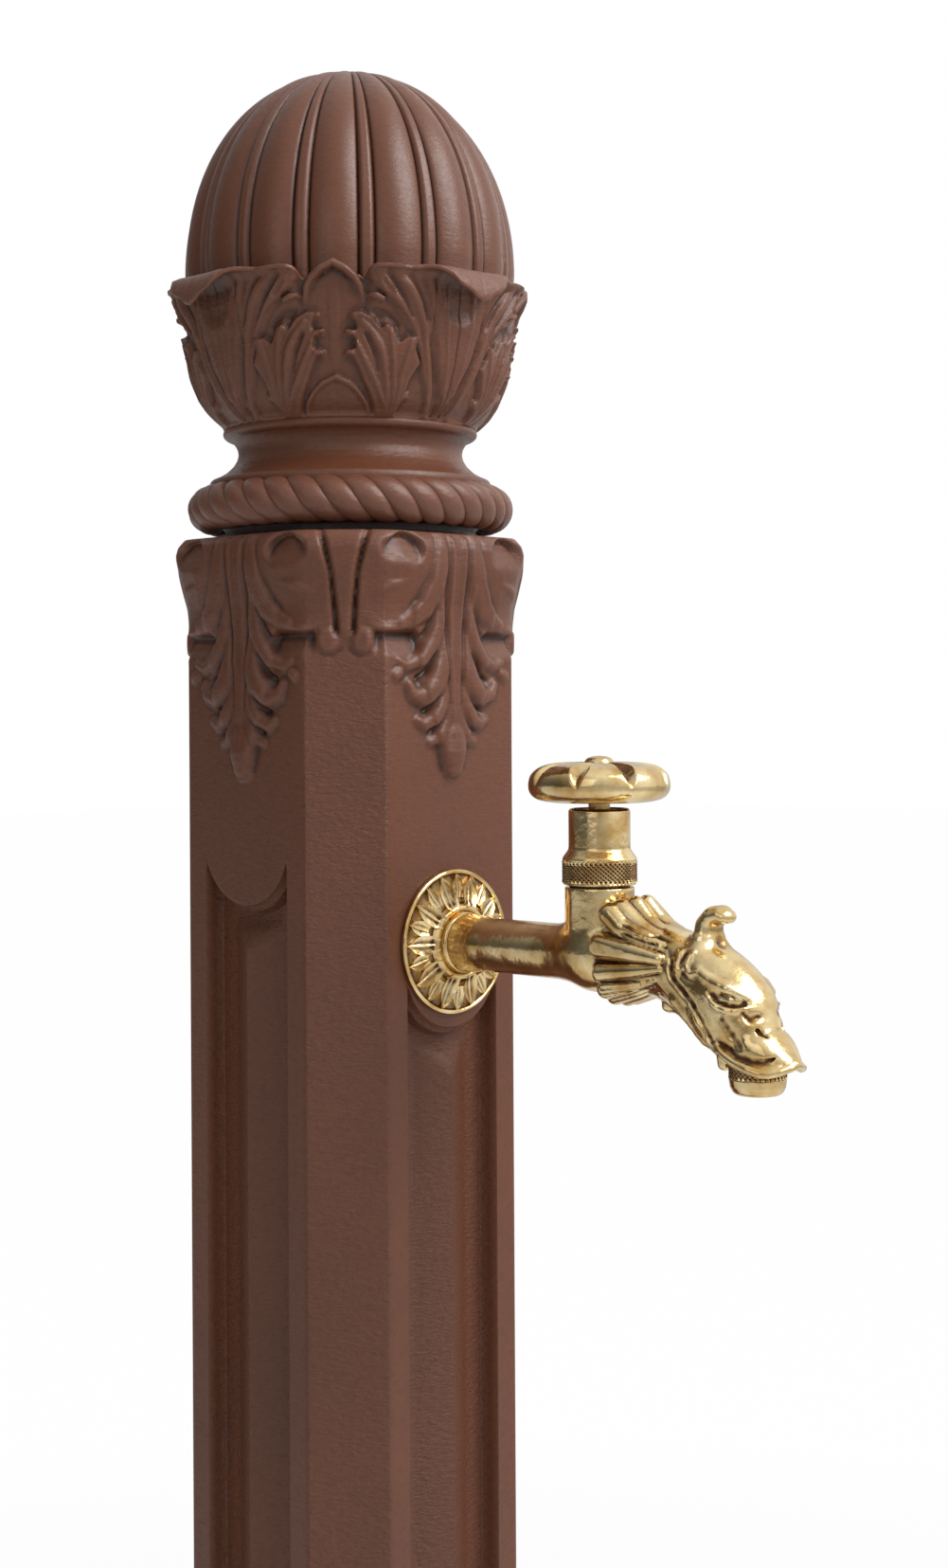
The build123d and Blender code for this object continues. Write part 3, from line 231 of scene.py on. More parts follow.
def set_marks(mesh: bpy.types.Mesh, key: str, values: np.ndarray) -> None:
    """Writes a point attribute, and adds it first where the mesh lacks it."""
    marks = mesh.attributes.get(key) or mesh.attributes.new(key, "FLOAT", "POINT")
    marks.data.foreach_set("value", np.ravel(values).astype(np.float32))


def read_points(mesh: bpy.types.Mesh, key: str = "co") -> np.ndarray:
    """Places of the mesh's points, or their normals, one row for each."""
    values = np.empty(len(mesh.vertices) * 3, np.float32)
    mesh.vertices.foreach_get(key, values)
    return values.reshape(-1, 3)


def make_mesh(name: str, points: np.ndarray, faces: Faces, marks: dict[str, np.ndarray] | None = None,
              sharp: float = 50.0, merge: float = 0.002) -> bpy.types.Mesh:
    """Mesh in metres from points in millimetres, welded, closed and facing outwards.

    Args:
        name: name of the mesh.
        points: one row of x, y and z for each point.
        faces: point numbers of each face.
        marks: point attributes by name.
        sharp: angle in degrees over which an edge stays sharp.
        merge: distance in millimetres under which points are welded.

    Returns:
        The new mesh.
    """
    mesh = bpy.data.meshes.new(name)
    mesh.from_pydata((np.asarray(points, float) * MM).tolist(), [], faces)
    for key, values in (marks or {}).items():
        set_marks(mesh, key, values)
    with editing(mesh) as shape:
        bmesh.ops.remove_doubles(shape, verts=shape.verts, dist=merge * MM)
        bmesh.ops.dissolve_degenerate(shape, dist=merge * MM * 0.5, edges=shape.edges)
    return face_out(mesh, sharp)


def mark_hollows(mesh: bpy.types.Mesh, depth: float, rounds: int) -> None:
    """Adds a "hollow" attribute: 1 deep in a crevice, 0 on open ground and edges. The painted iron darkens
    by it as painted shade, and the brass gathers its patina by it.

    Args:
        mesh: mesh to mark.
        depth: depth in millimetres that counts as fully hollow.
        rounds: rounds of smoothing, which sets how wide a crevice may be.
    """
    count = len(mesh.vertices)
    edges = np.empty(len(mesh.edges) * 2, np.int32)
    mesh.edges.foreach_get("vertices", edges)
    first, second = edges.reshape(-1, 2).T
    points, normals = read_points(mesh).astype(float), read_points(mesh, "normal")
    degree = np.maximum(np.bincount(first, minlength=count) + np.bincount(second, minlength=count), 1)
    smooth = points.copy()
    for _ in range(rounds):
        moved = np.empty_like(smooth)
        for axis in range(3):
            moved[:, axis] = (np.bincount(first, smooth[second, axis], count)
                              + np.bincount(second, smooth[first, axis], count)) / degree
        smooth = moved
    raised = ((smooth - points) * normals).sum(axis=1) / (depth * MM)
    set_marks(mesh, "hollow", np.clip(raised, -1.0, 1.0))


def calm(mesh: bpy.types.Mesh, low: float, high: float, value: float = 0.0) -> None:
    """Sets the "hollow" attribute between two levels, where a joint or a deep gap would mislead it; set to
    1, it paints shade into a gap that lies in shadow.

    Args:
        mesh: mesh with the attribute.
        low: lowest level in millimetres.
        high: highest level.
        value: value to set.
    """
    level = read_points(mesh)[:, 2] / MM
    marks = np.empty(len(mesh.vertices), np.float32)
    mesh.attributes["hollow"].data.foreach_get("value", marks)
    marks[(level > low) & (level < high)] = value
    set_marks(mesh, "hollow", marks)


def add_piece(name: str, mesh: bpy.types.Mesh, finishes: "Finishes", slot: Slot,
              nodes: Iterable[str], body: Body = Body.POST) -> None:
    """Puts a finished mesh in the scene on its body, and hides the nodes that it stands for.

    Args:
        name: name of the piece.
        mesh: its mesh, in place and in metres.
        finishes: the object's finishes.
        slot: the record's slot for it, which sets its finish.
        nodes: nodes of the model that it stands for.
        body: the body that it rides on.
    """
    mesh.materials.clear()
    mesh.materials.append(finishes.of(slot))
    piece = bpy.data.objects.new(name, mesh)
    bpy.context.scene.collection.objects.link(piece)
    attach(piece, body.value)
    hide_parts(*nodes)
    LOG.info("%s: %d faces on %s", name, len(mesh.polygons), body.value)


# Node helpers


class NodeKit:
    """Ways to add, feed and combine the nodes of any tree."""

    def __init__(self, tree: bpy.types.NodeTree) -> None:
        """Keeps the tree that the nodes go into."""
        self.tree = tree

    def node(self, kind: str, inputs: dict[int | str, object] | None = None,
             **settings: object) -> bpy.types.Node:
        """Adds a node, sets it up and feeds its inputs.

        Args:
            kind: type of the node.
            inputs: by socket name or number, a value or the output socket that feeds it.
            settings: properties of the node.

        Returns:
            The new node.
        """
        made = self.tree.nodes.new(kind)
        for key, value in settings.items():
            setattr(made, key, value)
        for key, value in (inputs or {}).items():
            self.feed(made.inputs[key], value)
        return made

    def feed(self, socket: bpy.types.NodeSocket, value: object) -> None:
        """Links a socket to an output, or sets its value."""
        value = value.socket if isinstance(value, Number) else value
        if isinstance(value, bpy.types.NodeSocket):
            self.tree.links.new(value, socket)
        else:
            socket.default_value = value

    def math(self, operation: str, first: object, second: object = 0.0, clamp: bool = False) -> "Number":
        """Result of a Math node on two numbers or sockets."""
        made = self.node("ShaderNodeMath", {0: first, 1: second}, operation=operation, use_clamp=clamp)
        return Number(self, made.outputs[0])

    def fit(self, value: object, low: float, high: float, new_low: float, new_high: float) -> "Number":
        """Value carried from one range to another and held inside it."""
        made = self.node("ShaderNodeMapRange", {0: value, 1: low, 2: high, 3: new_low, 4: new_high})
        return Number(self, made.outputs[0])


class Number:
    """Value inside a node tree that plain arithmetic works on."""

    def __init__(self, kit: NodeKit, socket: bpy.types.NodeSocket) -> None:
        self.kit, self.socket = kit, socket

    def __add__(self, other: object) -> "Number":
        """This value and another one together."""
        return self.kit.math("ADD", self, other)

    def __sub__(self, other: object) -> "Number":
        """This value less another one."""
        return self.kit.math("SUBTRACT", self, other)

    def __rsub__(self, other: object) -> "Number":
        """Another value less this one."""
        return self.kit.math("SUBTRACT", other, self)

    def __mul__(self, other: object) -> "Number":
        """This value times another one."""
        return self.kit.math("MULTIPLY", self, other)

    def __truediv__(self, other: object) -> "Number":
        """This value over another one."""
        return self.kit.math("DIVIDE", self, other)

    def __pow__(self, other: object) -> "Number":
        """This value to a power."""
        return self.kit.math("POWER", self, other)

    def __abs__(self) -> "Number":
        """This value without its sign."""
        return self.kit.math("ABSOLUTE", self)

    def over(self, other: object) -> "Number":
        """1 where this value is greater than another one, else 0."""
        return self.kit.math("GREATER_THAN", self, other)

    def least(self, other: object) -> "Number":
        """This value, but no less than another one."""
        return self.kit.math("MAXIMUM", self, other)

    def most(self, other: object) -> "Number":
        """This value, but no more than another one."""
        return self.kit.math("MINIMUM", self, other)

    def held(self) -> "Number":
        """This value held between 0 and 1."""
        return self.least(0.0).most(1.0)

    def wave(self) -> tuple["Number", "Number"]:
        """Cosine and sine of this angle."""
        return self.kit.math("COSINE", self), self.kit.math("SINE", self)

    def fraction(self) -> "Number":
        """Part of this value past its whole number."""
        return self.kit.math("FRACT", self)


class RuleTree(NodeKit):
    """A Geometry Nodes tree that is laid out in code, with named inputs for its sizes."""

    def __init__(self, name: str, sizes: dict[str, float | int], with_mesh: bool = False) -> None:
        """Starts the tree.

        Args:
            name: name of the tree.
            sizes: value of each named input; whole numbers become integer inputs.
            with_mesh: whether the tree works on a mesh that it is given.
        """
        super().__init__(bpy.data.node_groups.new(name, "GeometryNodeTree"))
        self.sizes = sizes
        face = self.tree.interface
        if with_mesh:
            face.new_socket("Geometry", in_out="INPUT", socket_type="NodeSocketGeometry")
        for key, value in sizes.items():
            kind = "NodeSocketInt" if isinstance(value, int) else "NodeSocketFloat"
            face.new_socket(key, in_out="INPUT", socket_type=kind)
        face.new_socket("Finish", in_out="INPUT", socket_type="NodeSocketMaterial")
        face.new_socket("Geometry", in_out="OUTPUT", socket_type="NodeSocketGeometry")
        self.given = self.tree.nodes.new("NodeGroupInput")

    def size(self, name: str) -> Number:
        """Value of a named input."""
        return Number(self, self.given.outputs[name])

    def sheet(self, columns: object, rows: object) -> tuple[bpy.types.NodeSocket, Number, Number]:
        """Flat grid of side 1, and the place of each of its points across and up from the middle."""
        grid = self.node("GeometryNodeMeshGrid", {"Size X": 1.0, "Size Y": 1.0,
                                                  "Vertices X": columns, "Vertices Y": rows})
        spot = self.node("ShaderNodeSeparateXYZ", {0: self.node("GeometryNodeInputPosition").outputs[0]})
        return grid.outputs[0], Number(self, spot.outputs[0]), Number(self, spot.outputs[1])

    def wrap(self, sheet: bpy.types.NodeSocket, x: Number, y: Number, z: Number, weld: float) -> None:
        """Carries the points of a sheet to their places and ends the tree."""
        place = self.node("ShaderNodeCombineXYZ", {0: x, 1: y, 2: z}).outputs[0]
        moved = self.node("GeometryNodeSetPosition", {"Geometry": sheet, "Position": place})
        self.finish(moved.outputs[0], weld)

    def finish(self, geometry: bpy.types.NodeSocket, weld: float) -> None:
        """Ends the tree: realises copies, welds seams and sets the finish.

        Args:
            geometry: geometry to finish.
            weld: distance in metres under which points are welded.
        """
        real = self.node("GeometryNodeRealizeInstances", {"Geometry": geometry})
        joined = self.node("GeometryNodeMergeByDistance", {"Geometry": real.outputs[0], "Distance": weld})
        smooth = self.node("GeometryNodeSetShadeSmooth",
                           {"Geometry": joined.outputs[0], "Shade Smooth": True})
        dressed = self.node("GeometryNodeSetMaterial",
                            {"Geometry": smooth.outputs[0], "Material": self.given.outputs["Finish"]})
        self.node("NodeGroupOutput", {0: dressed.outputs[0]})

    def run(self, base: bpy.types.Mesh, material: bpy.types.Material) -> bpy.types.Mesh:
        """Runs the tree on a base mesh and keeps the result as a plain mesh.

        Args:
            base: mesh that the tree starts from; an empty one where it makes its own.
            material: finish for the Set Material node.

        Returns:
            The plain mesh.
        """
        carrier = bpy.data.objects.new(self.tree.name + "_carrier", base)
        bpy.context.scene.collection.objects.link(carrier)
        modifier = carrier.modifiers.new("rule", "NODES")
        modifier.node_group = self.tree
        for item in self.tree.interface.items_tree:
            if item.in_out == "INPUT" and item.name in self.sizes:
                modifier[item.identifier] = self.sizes[item.name]
            elif item.in_out == "INPUT" and item.name == "Finish":
                modifier[item.identifier] = material
        graph = bpy.context.evaluated_depsgraph_get()
        mesh = bpy.data.meshes.new_from_object(carrier.evaluated_get(graph), depsgraph=graph)
        carrier.modifiers.remove(modifier)
        bpy.data.objects.remove(carrier)
        return mesh


def round_array(name: str, base: bpy.types.Mesh, count: int, first: float,
                place: tuple[float, float, float],
                tilt: float, material: bpy.types.Material) -> bpy.types.Mesh:
    """Copies of a mesh at equal angles about an axis.

    Args:
        name: name of the tree.
        base: mesh made about Z at the origin.
        count: number of copies.
        first: angle of the first copy in degrees.
        place: where the axis stands, in millimetres.
        tilt: turn of the whole ring about X in degrees, after the copies are made.
        material: finish of the copies.

    Returns:
        One plain mesh with all copies.
    """
    rule = RuleTree(name, {"Count": count, "First": math.radians(first), "Tilt": math.radians(tilt),
                           "Place X": place[0] * MM, "Place Y": place[1] * MM, "Place Z": place[2] * MM},
                    True)
    spots = rule.node("GeometryNodePoints", {"Count": rule.size("Count")})
    index = Number(rule, rule.node("GeometryNodeInputIndex").outputs[0])
    angle = index / rule.size("Count") * (2.0 * math.pi) + rule.size("First")
    turn = rule.node("ShaderNodeCombineXYZ", {2: angle})
    copies = rule.node("GeometryNodeInstanceOnPoints",
                       {"Points": spots.outputs[0], "Instance": rule.given.outputs["Geometry"],
                        "Rotation": turn.outputs[0]})
    real = rule.node("GeometryNodeRealizeInstances", {"Geometry": copies.outputs[0]})
    lean = rule.node("ShaderNodeCombineXYZ", {0: rule.size("Tilt")})
    move = rule.node("ShaderNodeCombineXYZ",
                     {number: rule.size("Place " + letter) for number, letter in enumerate("XYZ")})
    placed = rule.node("GeometryNodeTransform",
                       {"Geometry": real.outputs[0], "Translation": move.outputs[0],
                        "Rotation": lean.outputs[0]})
    rule.finish(placed.outputs[0], 1e-6)
    return face_out(rule.run(base, material))


def diamond_band(name: str, radius: float, inner: float, low: float, high: float, relief: float, count: int,
                 rows: int, reach: float, material: bpy.types.Material) -> bpy.types.Mesh:
    """Knurled band: small pyramids between two crossing sets of slanted grooves.

    Args:
        name: name of the tree.
        radius: radius at the pyramids' tips.
        inner: radius of the band's hidden inner side.
        low: lower level.
        high: upper level.
        relief: height of the pyramids.
        count: pyramids round the band.
        rows: rows of pyramids.
        reach: reach of the band's axis.
        material: finish of the band.

    Returns:
        The closed band as a plain mesh.
    """
    rule = RuleTree(name, {"Radius": radius * MM, "Inner": inner * MM, "Low": low * MM,
                           "Height": (high - low) * MM,
                           "Relief": relief * MM, "Count": count, "Rows": rows, "Reach": reach * MM})
    columns, lines = rule.size("Count") * 4.0 + 1.0, rule.size("Rows") * 4.0 + 3.0
    sheet, along, across = rule.sheet(columns, lines)
    edge = abs(across).over(0.4999)
    level = across * ((lines - 1.0) / (lines - 3.0))
    first, second = along * rule.size("Count"), level * rule.size("Rows")

    def groove(place: Number) -> Number:
        """Distance from one set of slanted grooves, 1 on them and 0 midway."""
        return abs((place + 100.0).fraction() - 0.5) * 2.0
    dip = groove(first + second).least(groove(first - second))
    proud = rule.size("Radius") - dip * rule.size("Relief")
    out = proud + edge * (rule.size("Inner") - proud)
    cosine, sine = (along * (2.0 * math.pi)).wave()
    middle = rule.size("Low") + rule.size("Height") * 0.5
    rule.wrap(sheet, out * cosine, out * sine - rule.size("Reach"),
              middle + level * (1.0 - edge) * rule.size("Height"), 2e-6)
    return face_out(rule.run(bpy.data.meshes.new(name + "_start"), material), 20.0)


# Finishes


class Recipe(NodeKit):
    """A material whose nodes are laid out in code."""

    def __init__(self, name: str) -> None:
        """Starts a material with a shader and an output."""
        self.material = bpy.data.materials.new(name)
        self.material.use_nodes = True
        super().__init__(self.material.node_tree)
        self.tree.nodes.clear()
        self.shader = self.node("ShaderNodeBsdfPrincipled")
        self.node("ShaderNodeOutputMaterial", {0: self.shader.outputs[0]})

    def dress(self, **inputs: object) -> None:
        """Feeds the shader's inputs; an underscore stands for a space."""
        for key, value in inputs.items():
            self.feed(self.shader.inputs[key.replace("_", " ")], value)

    def noise(self, scale: tuple[float, float, float], detail: float,
              rough: float = 0.5) -> bpy.types.NodeSocket:
        """Noise on object coordinates.

        Args:
            scale: cells to a metre along x, y and z.
            detail: octaves of detail.
            rough: weight of the fine octaves.

        Returns:
            The noise's value.
        """
        spot = self.node("ShaderNodeTexCoord").outputs["Object"]
        scaled = self.node("ShaderNodeMapping", {"Vector": spot, "Scale": scale}).outputs[0]
        return self.node("ShaderNodeTexNoise",
                         {"Vector": scaled, "Scale": 1.0, "Detail": detail, "Roughness": rough}).outputs[0]

    def mark(self, name: str) -> Number:
        """Value of a point attribute of the mesh."""
        return Number(self, self.node("ShaderNodeAttribute", attribute_name=name).outputs["Fac"])

    def mix(self, share: object, first: object, second: object) -> bpy.types.NodeSocket:
        """Colour between two colours."""
        made = self.node("ShaderNodeMix", data_type="RGBA")
        self.feed(made.inputs[0], share)
        self.feed(made.inputs[6], first)
        self.feed(made.inputs[7], second)
        return made.outputs[2]

    def bump(self, height: object, distance: float, strength: float,
             before: bpy.types.NodeSocket | None = None) -> bpy.types.NodeSocket:
        """Normal that is roughened by a height.

        Args:
            height: height field.
            distance: height of a value of 1, in metres.
            strength: share of the effect.
            before: normal of a bump that this one adds to.

        Returns:
            The new normal.
        """
        made = self.node("ShaderNodeBump", {"Height": height, "Distance": distance, "Strength": strength})
        if before is not None:
            self.feed(made.inputs["Normal"], before)
        return made.outputs[0]


@dataclass(frozen=True)
class PaintedIron:
    """Satin brown paint over a sand-cast skin that is grained where the pattern was rough, with painted
    shade that darkens its hollows.
    """

    name: str = "painted_iron"
    body: tuple[float, float, float] = (101.0, 59.0, 39.0)
    # Dark colour of the random mottling and of the painted shade in hollows.
    deep: tuple[float, float, float] = (40.0, 20.0, 13.0)
    worn: tuple[float, float, float] = (124.0, 86.0, 72.0)
    roughness: float = 0.38
    grain_height: float = 0.00085

    def build(self) -> bpy.types.Material:
        """Lays out the finish.

        Returns:
            The material.
        """
        recipe = Recipe(self.name)
        cloud = recipe.noise((14.0, 14.0, 14.0), 3.0)
        speck = recipe.noise((420.0, 420.0, 420.0), 2.0)
        wrinkle = recipe.noise((330.0, 330.0, 760.0), 5.0, 0.62)
        orange_peel = recipe.noise((900.0, 900.0, 900.0), 2.0)
        hollow = recipe.mark("hollow")
        grain = recipe.mark("grain")
        shade = recipe.fit(cloud, 0.3, 0.7, 0.0, 0.14) + recipe.fit(speck, 0.45, 0.75, 0.0, 0.16)
        # Painted shade: the paint darkens in crevices and hollows, where shade falls, on top of the random
        # mottling.
        deep = recipe.math("ADD", shade, recipe.fit(hollow, 0.04, 0.75, 0.0, 0.85), True)
        tone = recipe.mix(deep, paint(*self.body), paint(*self.deep))
        edge = recipe.fit(hollow, -0.75, -0.15, 0.32, 0.0)
        tone = recipe.mix(edge, tone, paint(*self.worn))
        rough = recipe.fit(speck, 0.3, 0.7, self.roughness - 0.05, self.roughness + 0.05) + grain * 0.06
        skin = recipe.bump(orange_peel, 0.00006, 0.4)
        height = recipe.math("MULTIPLY", wrinkle, grain + 0.12)
        recipe.dress(Base_Color=tone, Roughness=rough,
                     Normal=recipe.bump(height, self.grain_height, 1.0, skin))
        recipe.dress(Coat_Weight=0.08, Coat_Roughness=0.3, Specular_IOR_Level=0.36)
        return recipe.material


@dataclass(frozen=True)
class AgedBrass:
    """Polished brass that has gone brown in its hollows."""

    name: str = "aged_brass"
    bright: tuple[float, float, float] = (236.0, 214.0, 164.0)
    mellow: tuple[float, float, float] = (190.0, 152.0, 90.0)
    patina: tuple[float, float, float] = (82.0, 54.0, 42.0)
    roughness: float = 0.17

    def build(self) -> bpy.types.Material:
        """Lays out the finish.

        Returns:
            The material.
        """
        recipe = Recipe(self.name)
        cloud = recipe.noise((90.0, 90.0, 90.0), 3.0)
        speck = recipe.noise((700.0, 700.0, 700.0), 4.0, 0.6)
        dent = recipe.noise((240.0, 240.0, 240.0), 2.0)
        hollow = recipe.mark("hollow")
        tone = recipe.mix(recipe.fit(cloud, 0.35, 0.68, 0.0, 1.0), paint(*self.bright), paint(*self.mellow))
        specks = recipe.fit(speck, 0.55, 0.72, 0.0, 0.55) * recipe.fit(hollow, -0.05, 0.2, 0.14, 1.0)
        crust = recipe.math("ADD", recipe.fit(hollow, 0.04, 0.5, 0.0, 1.0), specks, True)
        tone = recipe.mix(crust, tone, paint(*self.patina))
        rough = recipe.fit(crust, 0.0, 1.0, self.roughness, 0.52) + recipe.fit(speck, 0.3, 0.7, -0.03, 0.05)
        skin = recipe.bump(dent, 0.0004, 0.5)
        recipe.dress(Base_Color=tone, Roughness=rough, Normal=recipe.bump(speck, 0.00006, 0.5, skin))
        recipe.dress(Metallic=1.0)
        return recipe.material


@dataclass(frozen=True)
class TurnedBrass:
    """Plain machined brass with faint tool rings."""

    name: str = "turned_brass"
    tone: tuple[float, float, float] = (212.0, 184.0, 122.0)
    roughness: float = 0.26

    def build(self) -> bpy.types.Material:
        """Lays out the finish.

        Returns:
            The material.
        """
        recipe = Recipe(self.name)
        rings = recipe.noise((60.0, 60.0, 2600.0), 2.0)
        cloud = recipe.noise((160.0, 160.0, 160.0), 3.0)
        tone = recipe.mix(recipe.fit(cloud, 0.35, 0.7, 0.0, 0.5), paint(*self.tone),
                          paint(164.0, 132.0, 76.0))
        recipe.dress(Base_Color=tone, Roughness=recipe.fit(rings, 0.3, 0.7, self.roughness,
                                                           self.roughness + 0.12),
                     Normal=recipe.bump(rings, 0.00004, 0.6))
        recipe.dress(Metallic=1.0)
        return recipe.material


@dataclass(frozen=True)
class Galvanised:
    """Zinc coat with its frost-like crystals."""

    name: str = "galvanised_steel"
    light: tuple[float, float, float] = (206.0, 210.0, 212.0)
    dark: tuple[float, float, float] = (160.0, 166.0, 170.0)

    def build(self) -> bpy.types.Material:
        """Lays out the finish.

        Returns:
            The material.
        """
        recipe = Recipe(self.name)
        spot = recipe.node("ShaderNodeTexCoord").outputs["Object"]
        cells = recipe.node("ShaderNodeTexVoronoi", {"Vector": spot, "Scale": 190.0})
        tint = recipe.node("ShaderNodeSeparateXYZ", {0: cells.outputs["Color"]}).outputs[0]
        haze = recipe.noise((260.0, 260.0, 260.0), 3.0)
        recipe.dress(Base_Color=recipe.mix(tint, paint(*self.light), paint(*self.dark)),
                     Roughness=recipe.fit(haze, 0.3, 0.7, 0.34, 0.5), Normal=recipe.bump(haze, 0.0001, 0.5))
        recipe.dress(Metallic=1.0)
        return recipe.material


@dataclass(frozen=True)
class BlackRubber:
    """Matt rubber with a faint bloom."""

    name: str = "black_rubber"
    tone: tuple[float, float, float] = (38.0, 37.0, 36.0)

    def build(self) -> bpy.types.Material:
        """Lays out the finish.

        Returns:
            The material.
        """
        recipe = Recipe(self.name)
        bloom = recipe.noise((300.0, 300.0, 300.0), 4.0)
        recipe.dress(Base_Color=recipe.mix(recipe.fit(bloom, 0.4, 0.7, 0.0, 0.5), paint(*self.tone),
                                           paint(62.0, 60.0, 58.0)),
                     Roughness=recipe.fit(bloom, 0.3, 0.7, 0.55, 0.75),
                     Normal=recipe.bump(bloom, 0.0001, 0.5))
        return recipe.material


@dataclass(frozen=True)
class Finishes:
    """The object's finishes, by the record's slots."""

    iron: bpy.types.Material
    steel: bpy.types.Material
    aged: bpy.types.Material
    turned: bpy.types.Material
    rubber: bpy.types.Material

    def of(self, slot: Slot) -> bpy.types.Material:
        """Finish that belongs to a slot."""
        return {Slot.IRON: self.iron, Slot.STEEL: self.steel, Slot.AGED: self.aged,
                Slot.TURNED: self.turned, Slot.RUBBER: self.rubber}[slot]


def mix_finishes() -> Finishes:
    """Builds every finish of the object."""
    return Finishes(PaintedIron().build(), Galvanised().build(), AgedBrass().build(), TurnedBrass().build(),
                    BlackRubber().build())


# Ornament drawn on a flat sheet


@dataclass(frozen=True)
class Stroke:
    """One rounded bar of an ornament, drawn on a sheet of (across, level) millimetres.

    The radius and height are given at even steps along the path and change smoothly between.
    """

    path: tuple[tuple[float, float], ...]
    radius: tuple[float, ...]
    height: tuple[float, ...]

    def lift(self, across: np.ndarray, level: np.ndarray, crisp: float = 0.62) -> np.ndarray:
        """Height of the bar over the sheet.

        Args:
            across: distance across the sheet at each point.
            level: level of each point.
            crisp: power of the bar's section, low for steep sides and above 1 for soft ones.

        Returns:
            The height, 0 away from the bar.
        """
        marks = np.array(self.path, float)
        lengths = np.hypot(*np.diff(marks, axis=0).T)
        along = np.concatenate([[0.0], np.cumsum(lengths)]) / lengths.sum()
        best = np.zeros_like(across)
        for start, end, begin, finish in zip(marks, marks[1:], along, along[1:]):
            way = end - start
            share = np.clip(((across - start[0]) * way[0] + (level - start[1]) * way[1]) / (way @ way), 0.0,
                            1.0)
            gap = np.hypot(across - start[0] - share * way[0], level - start[1] - share * way[1])
            place = begin + share * (finish - begin)
            wide = np.interp(place, np.linspace(0, 1, len(self.radius)), self.radius)
            tall = np.interp(place, np.linspace(0, 1, len(self.height)), self.height)
            dome = np.clip(1.0 - (gap / wide) ** 2.6, 0.0, 1.0) ** crisp
            best = np.maximum(best, tall * dome)
        return best


@dataclass(frozen=True)
class Patch:
    """One raised or sunk field of an ornament, with a crisp edge all round."""

    outline: tuple[tuple[float, float], ...]
    rise: float
    slope: float = 0.8

    def lift(self, across: np.ndarray, level: np.ndarray) -> np.ndarray:
        """Height of the field over the sheet.

        Args:
            across: distance across the sheet at each point.
            level: level of each point.

        Returns:
            The height, 0 outside the outline.
        """
        marks = np.array(self.outline, float)
        near = np.full(across.shape, 99.0)
        inside = np.zeros(across.shape, bool)
        for start, end in zip(marks, np.roll(marks, -1, axis=0)):
            way = end - start
            share = np.clip(((across - start[0]) * way[0] + (level - start[1]) * way[1]) / (way @ way), 0.0,
                            1.0)
            near = np.minimum(near, np.hypot(across - start[0] - share * way[0],
                                             level - start[1] - share * way[1]))
            crosses = (start[1] > level) != (end[1] > level)
            inside ^= crosses & (across < start[0] + (level - start[1]) * way[0] / (way[1] or 1e-9))
        return self.rise * ramp(0.0, self.slope, np.where(inside, near, 0.0))


def draw(strokes: Iterable[Stroke], across: np.ndarray, level: np.ndarray, blend: float,
         crisp: float = 0.62) -> np.ndarray:
    """All strokes joined with small fillets.

    Args:
        strokes: bars of the ornament.
        across: distance across the sheet at each point.
        level: level of each point.
        blend: width of the fillets.
        crisp: power of the bars' section.

    Returns:
        The relief's height.
    """
    relief = np.zeros_like(across)
    for stroke in strokes:
        lift = stroke.lift(across, level, crisp)
        relief = np.where(lift > 0.0, soft_max(relief, lift, blend) - 0.25 * blend, relief)
        relief = np.maximum(relief, lift)
    return relief


# Column


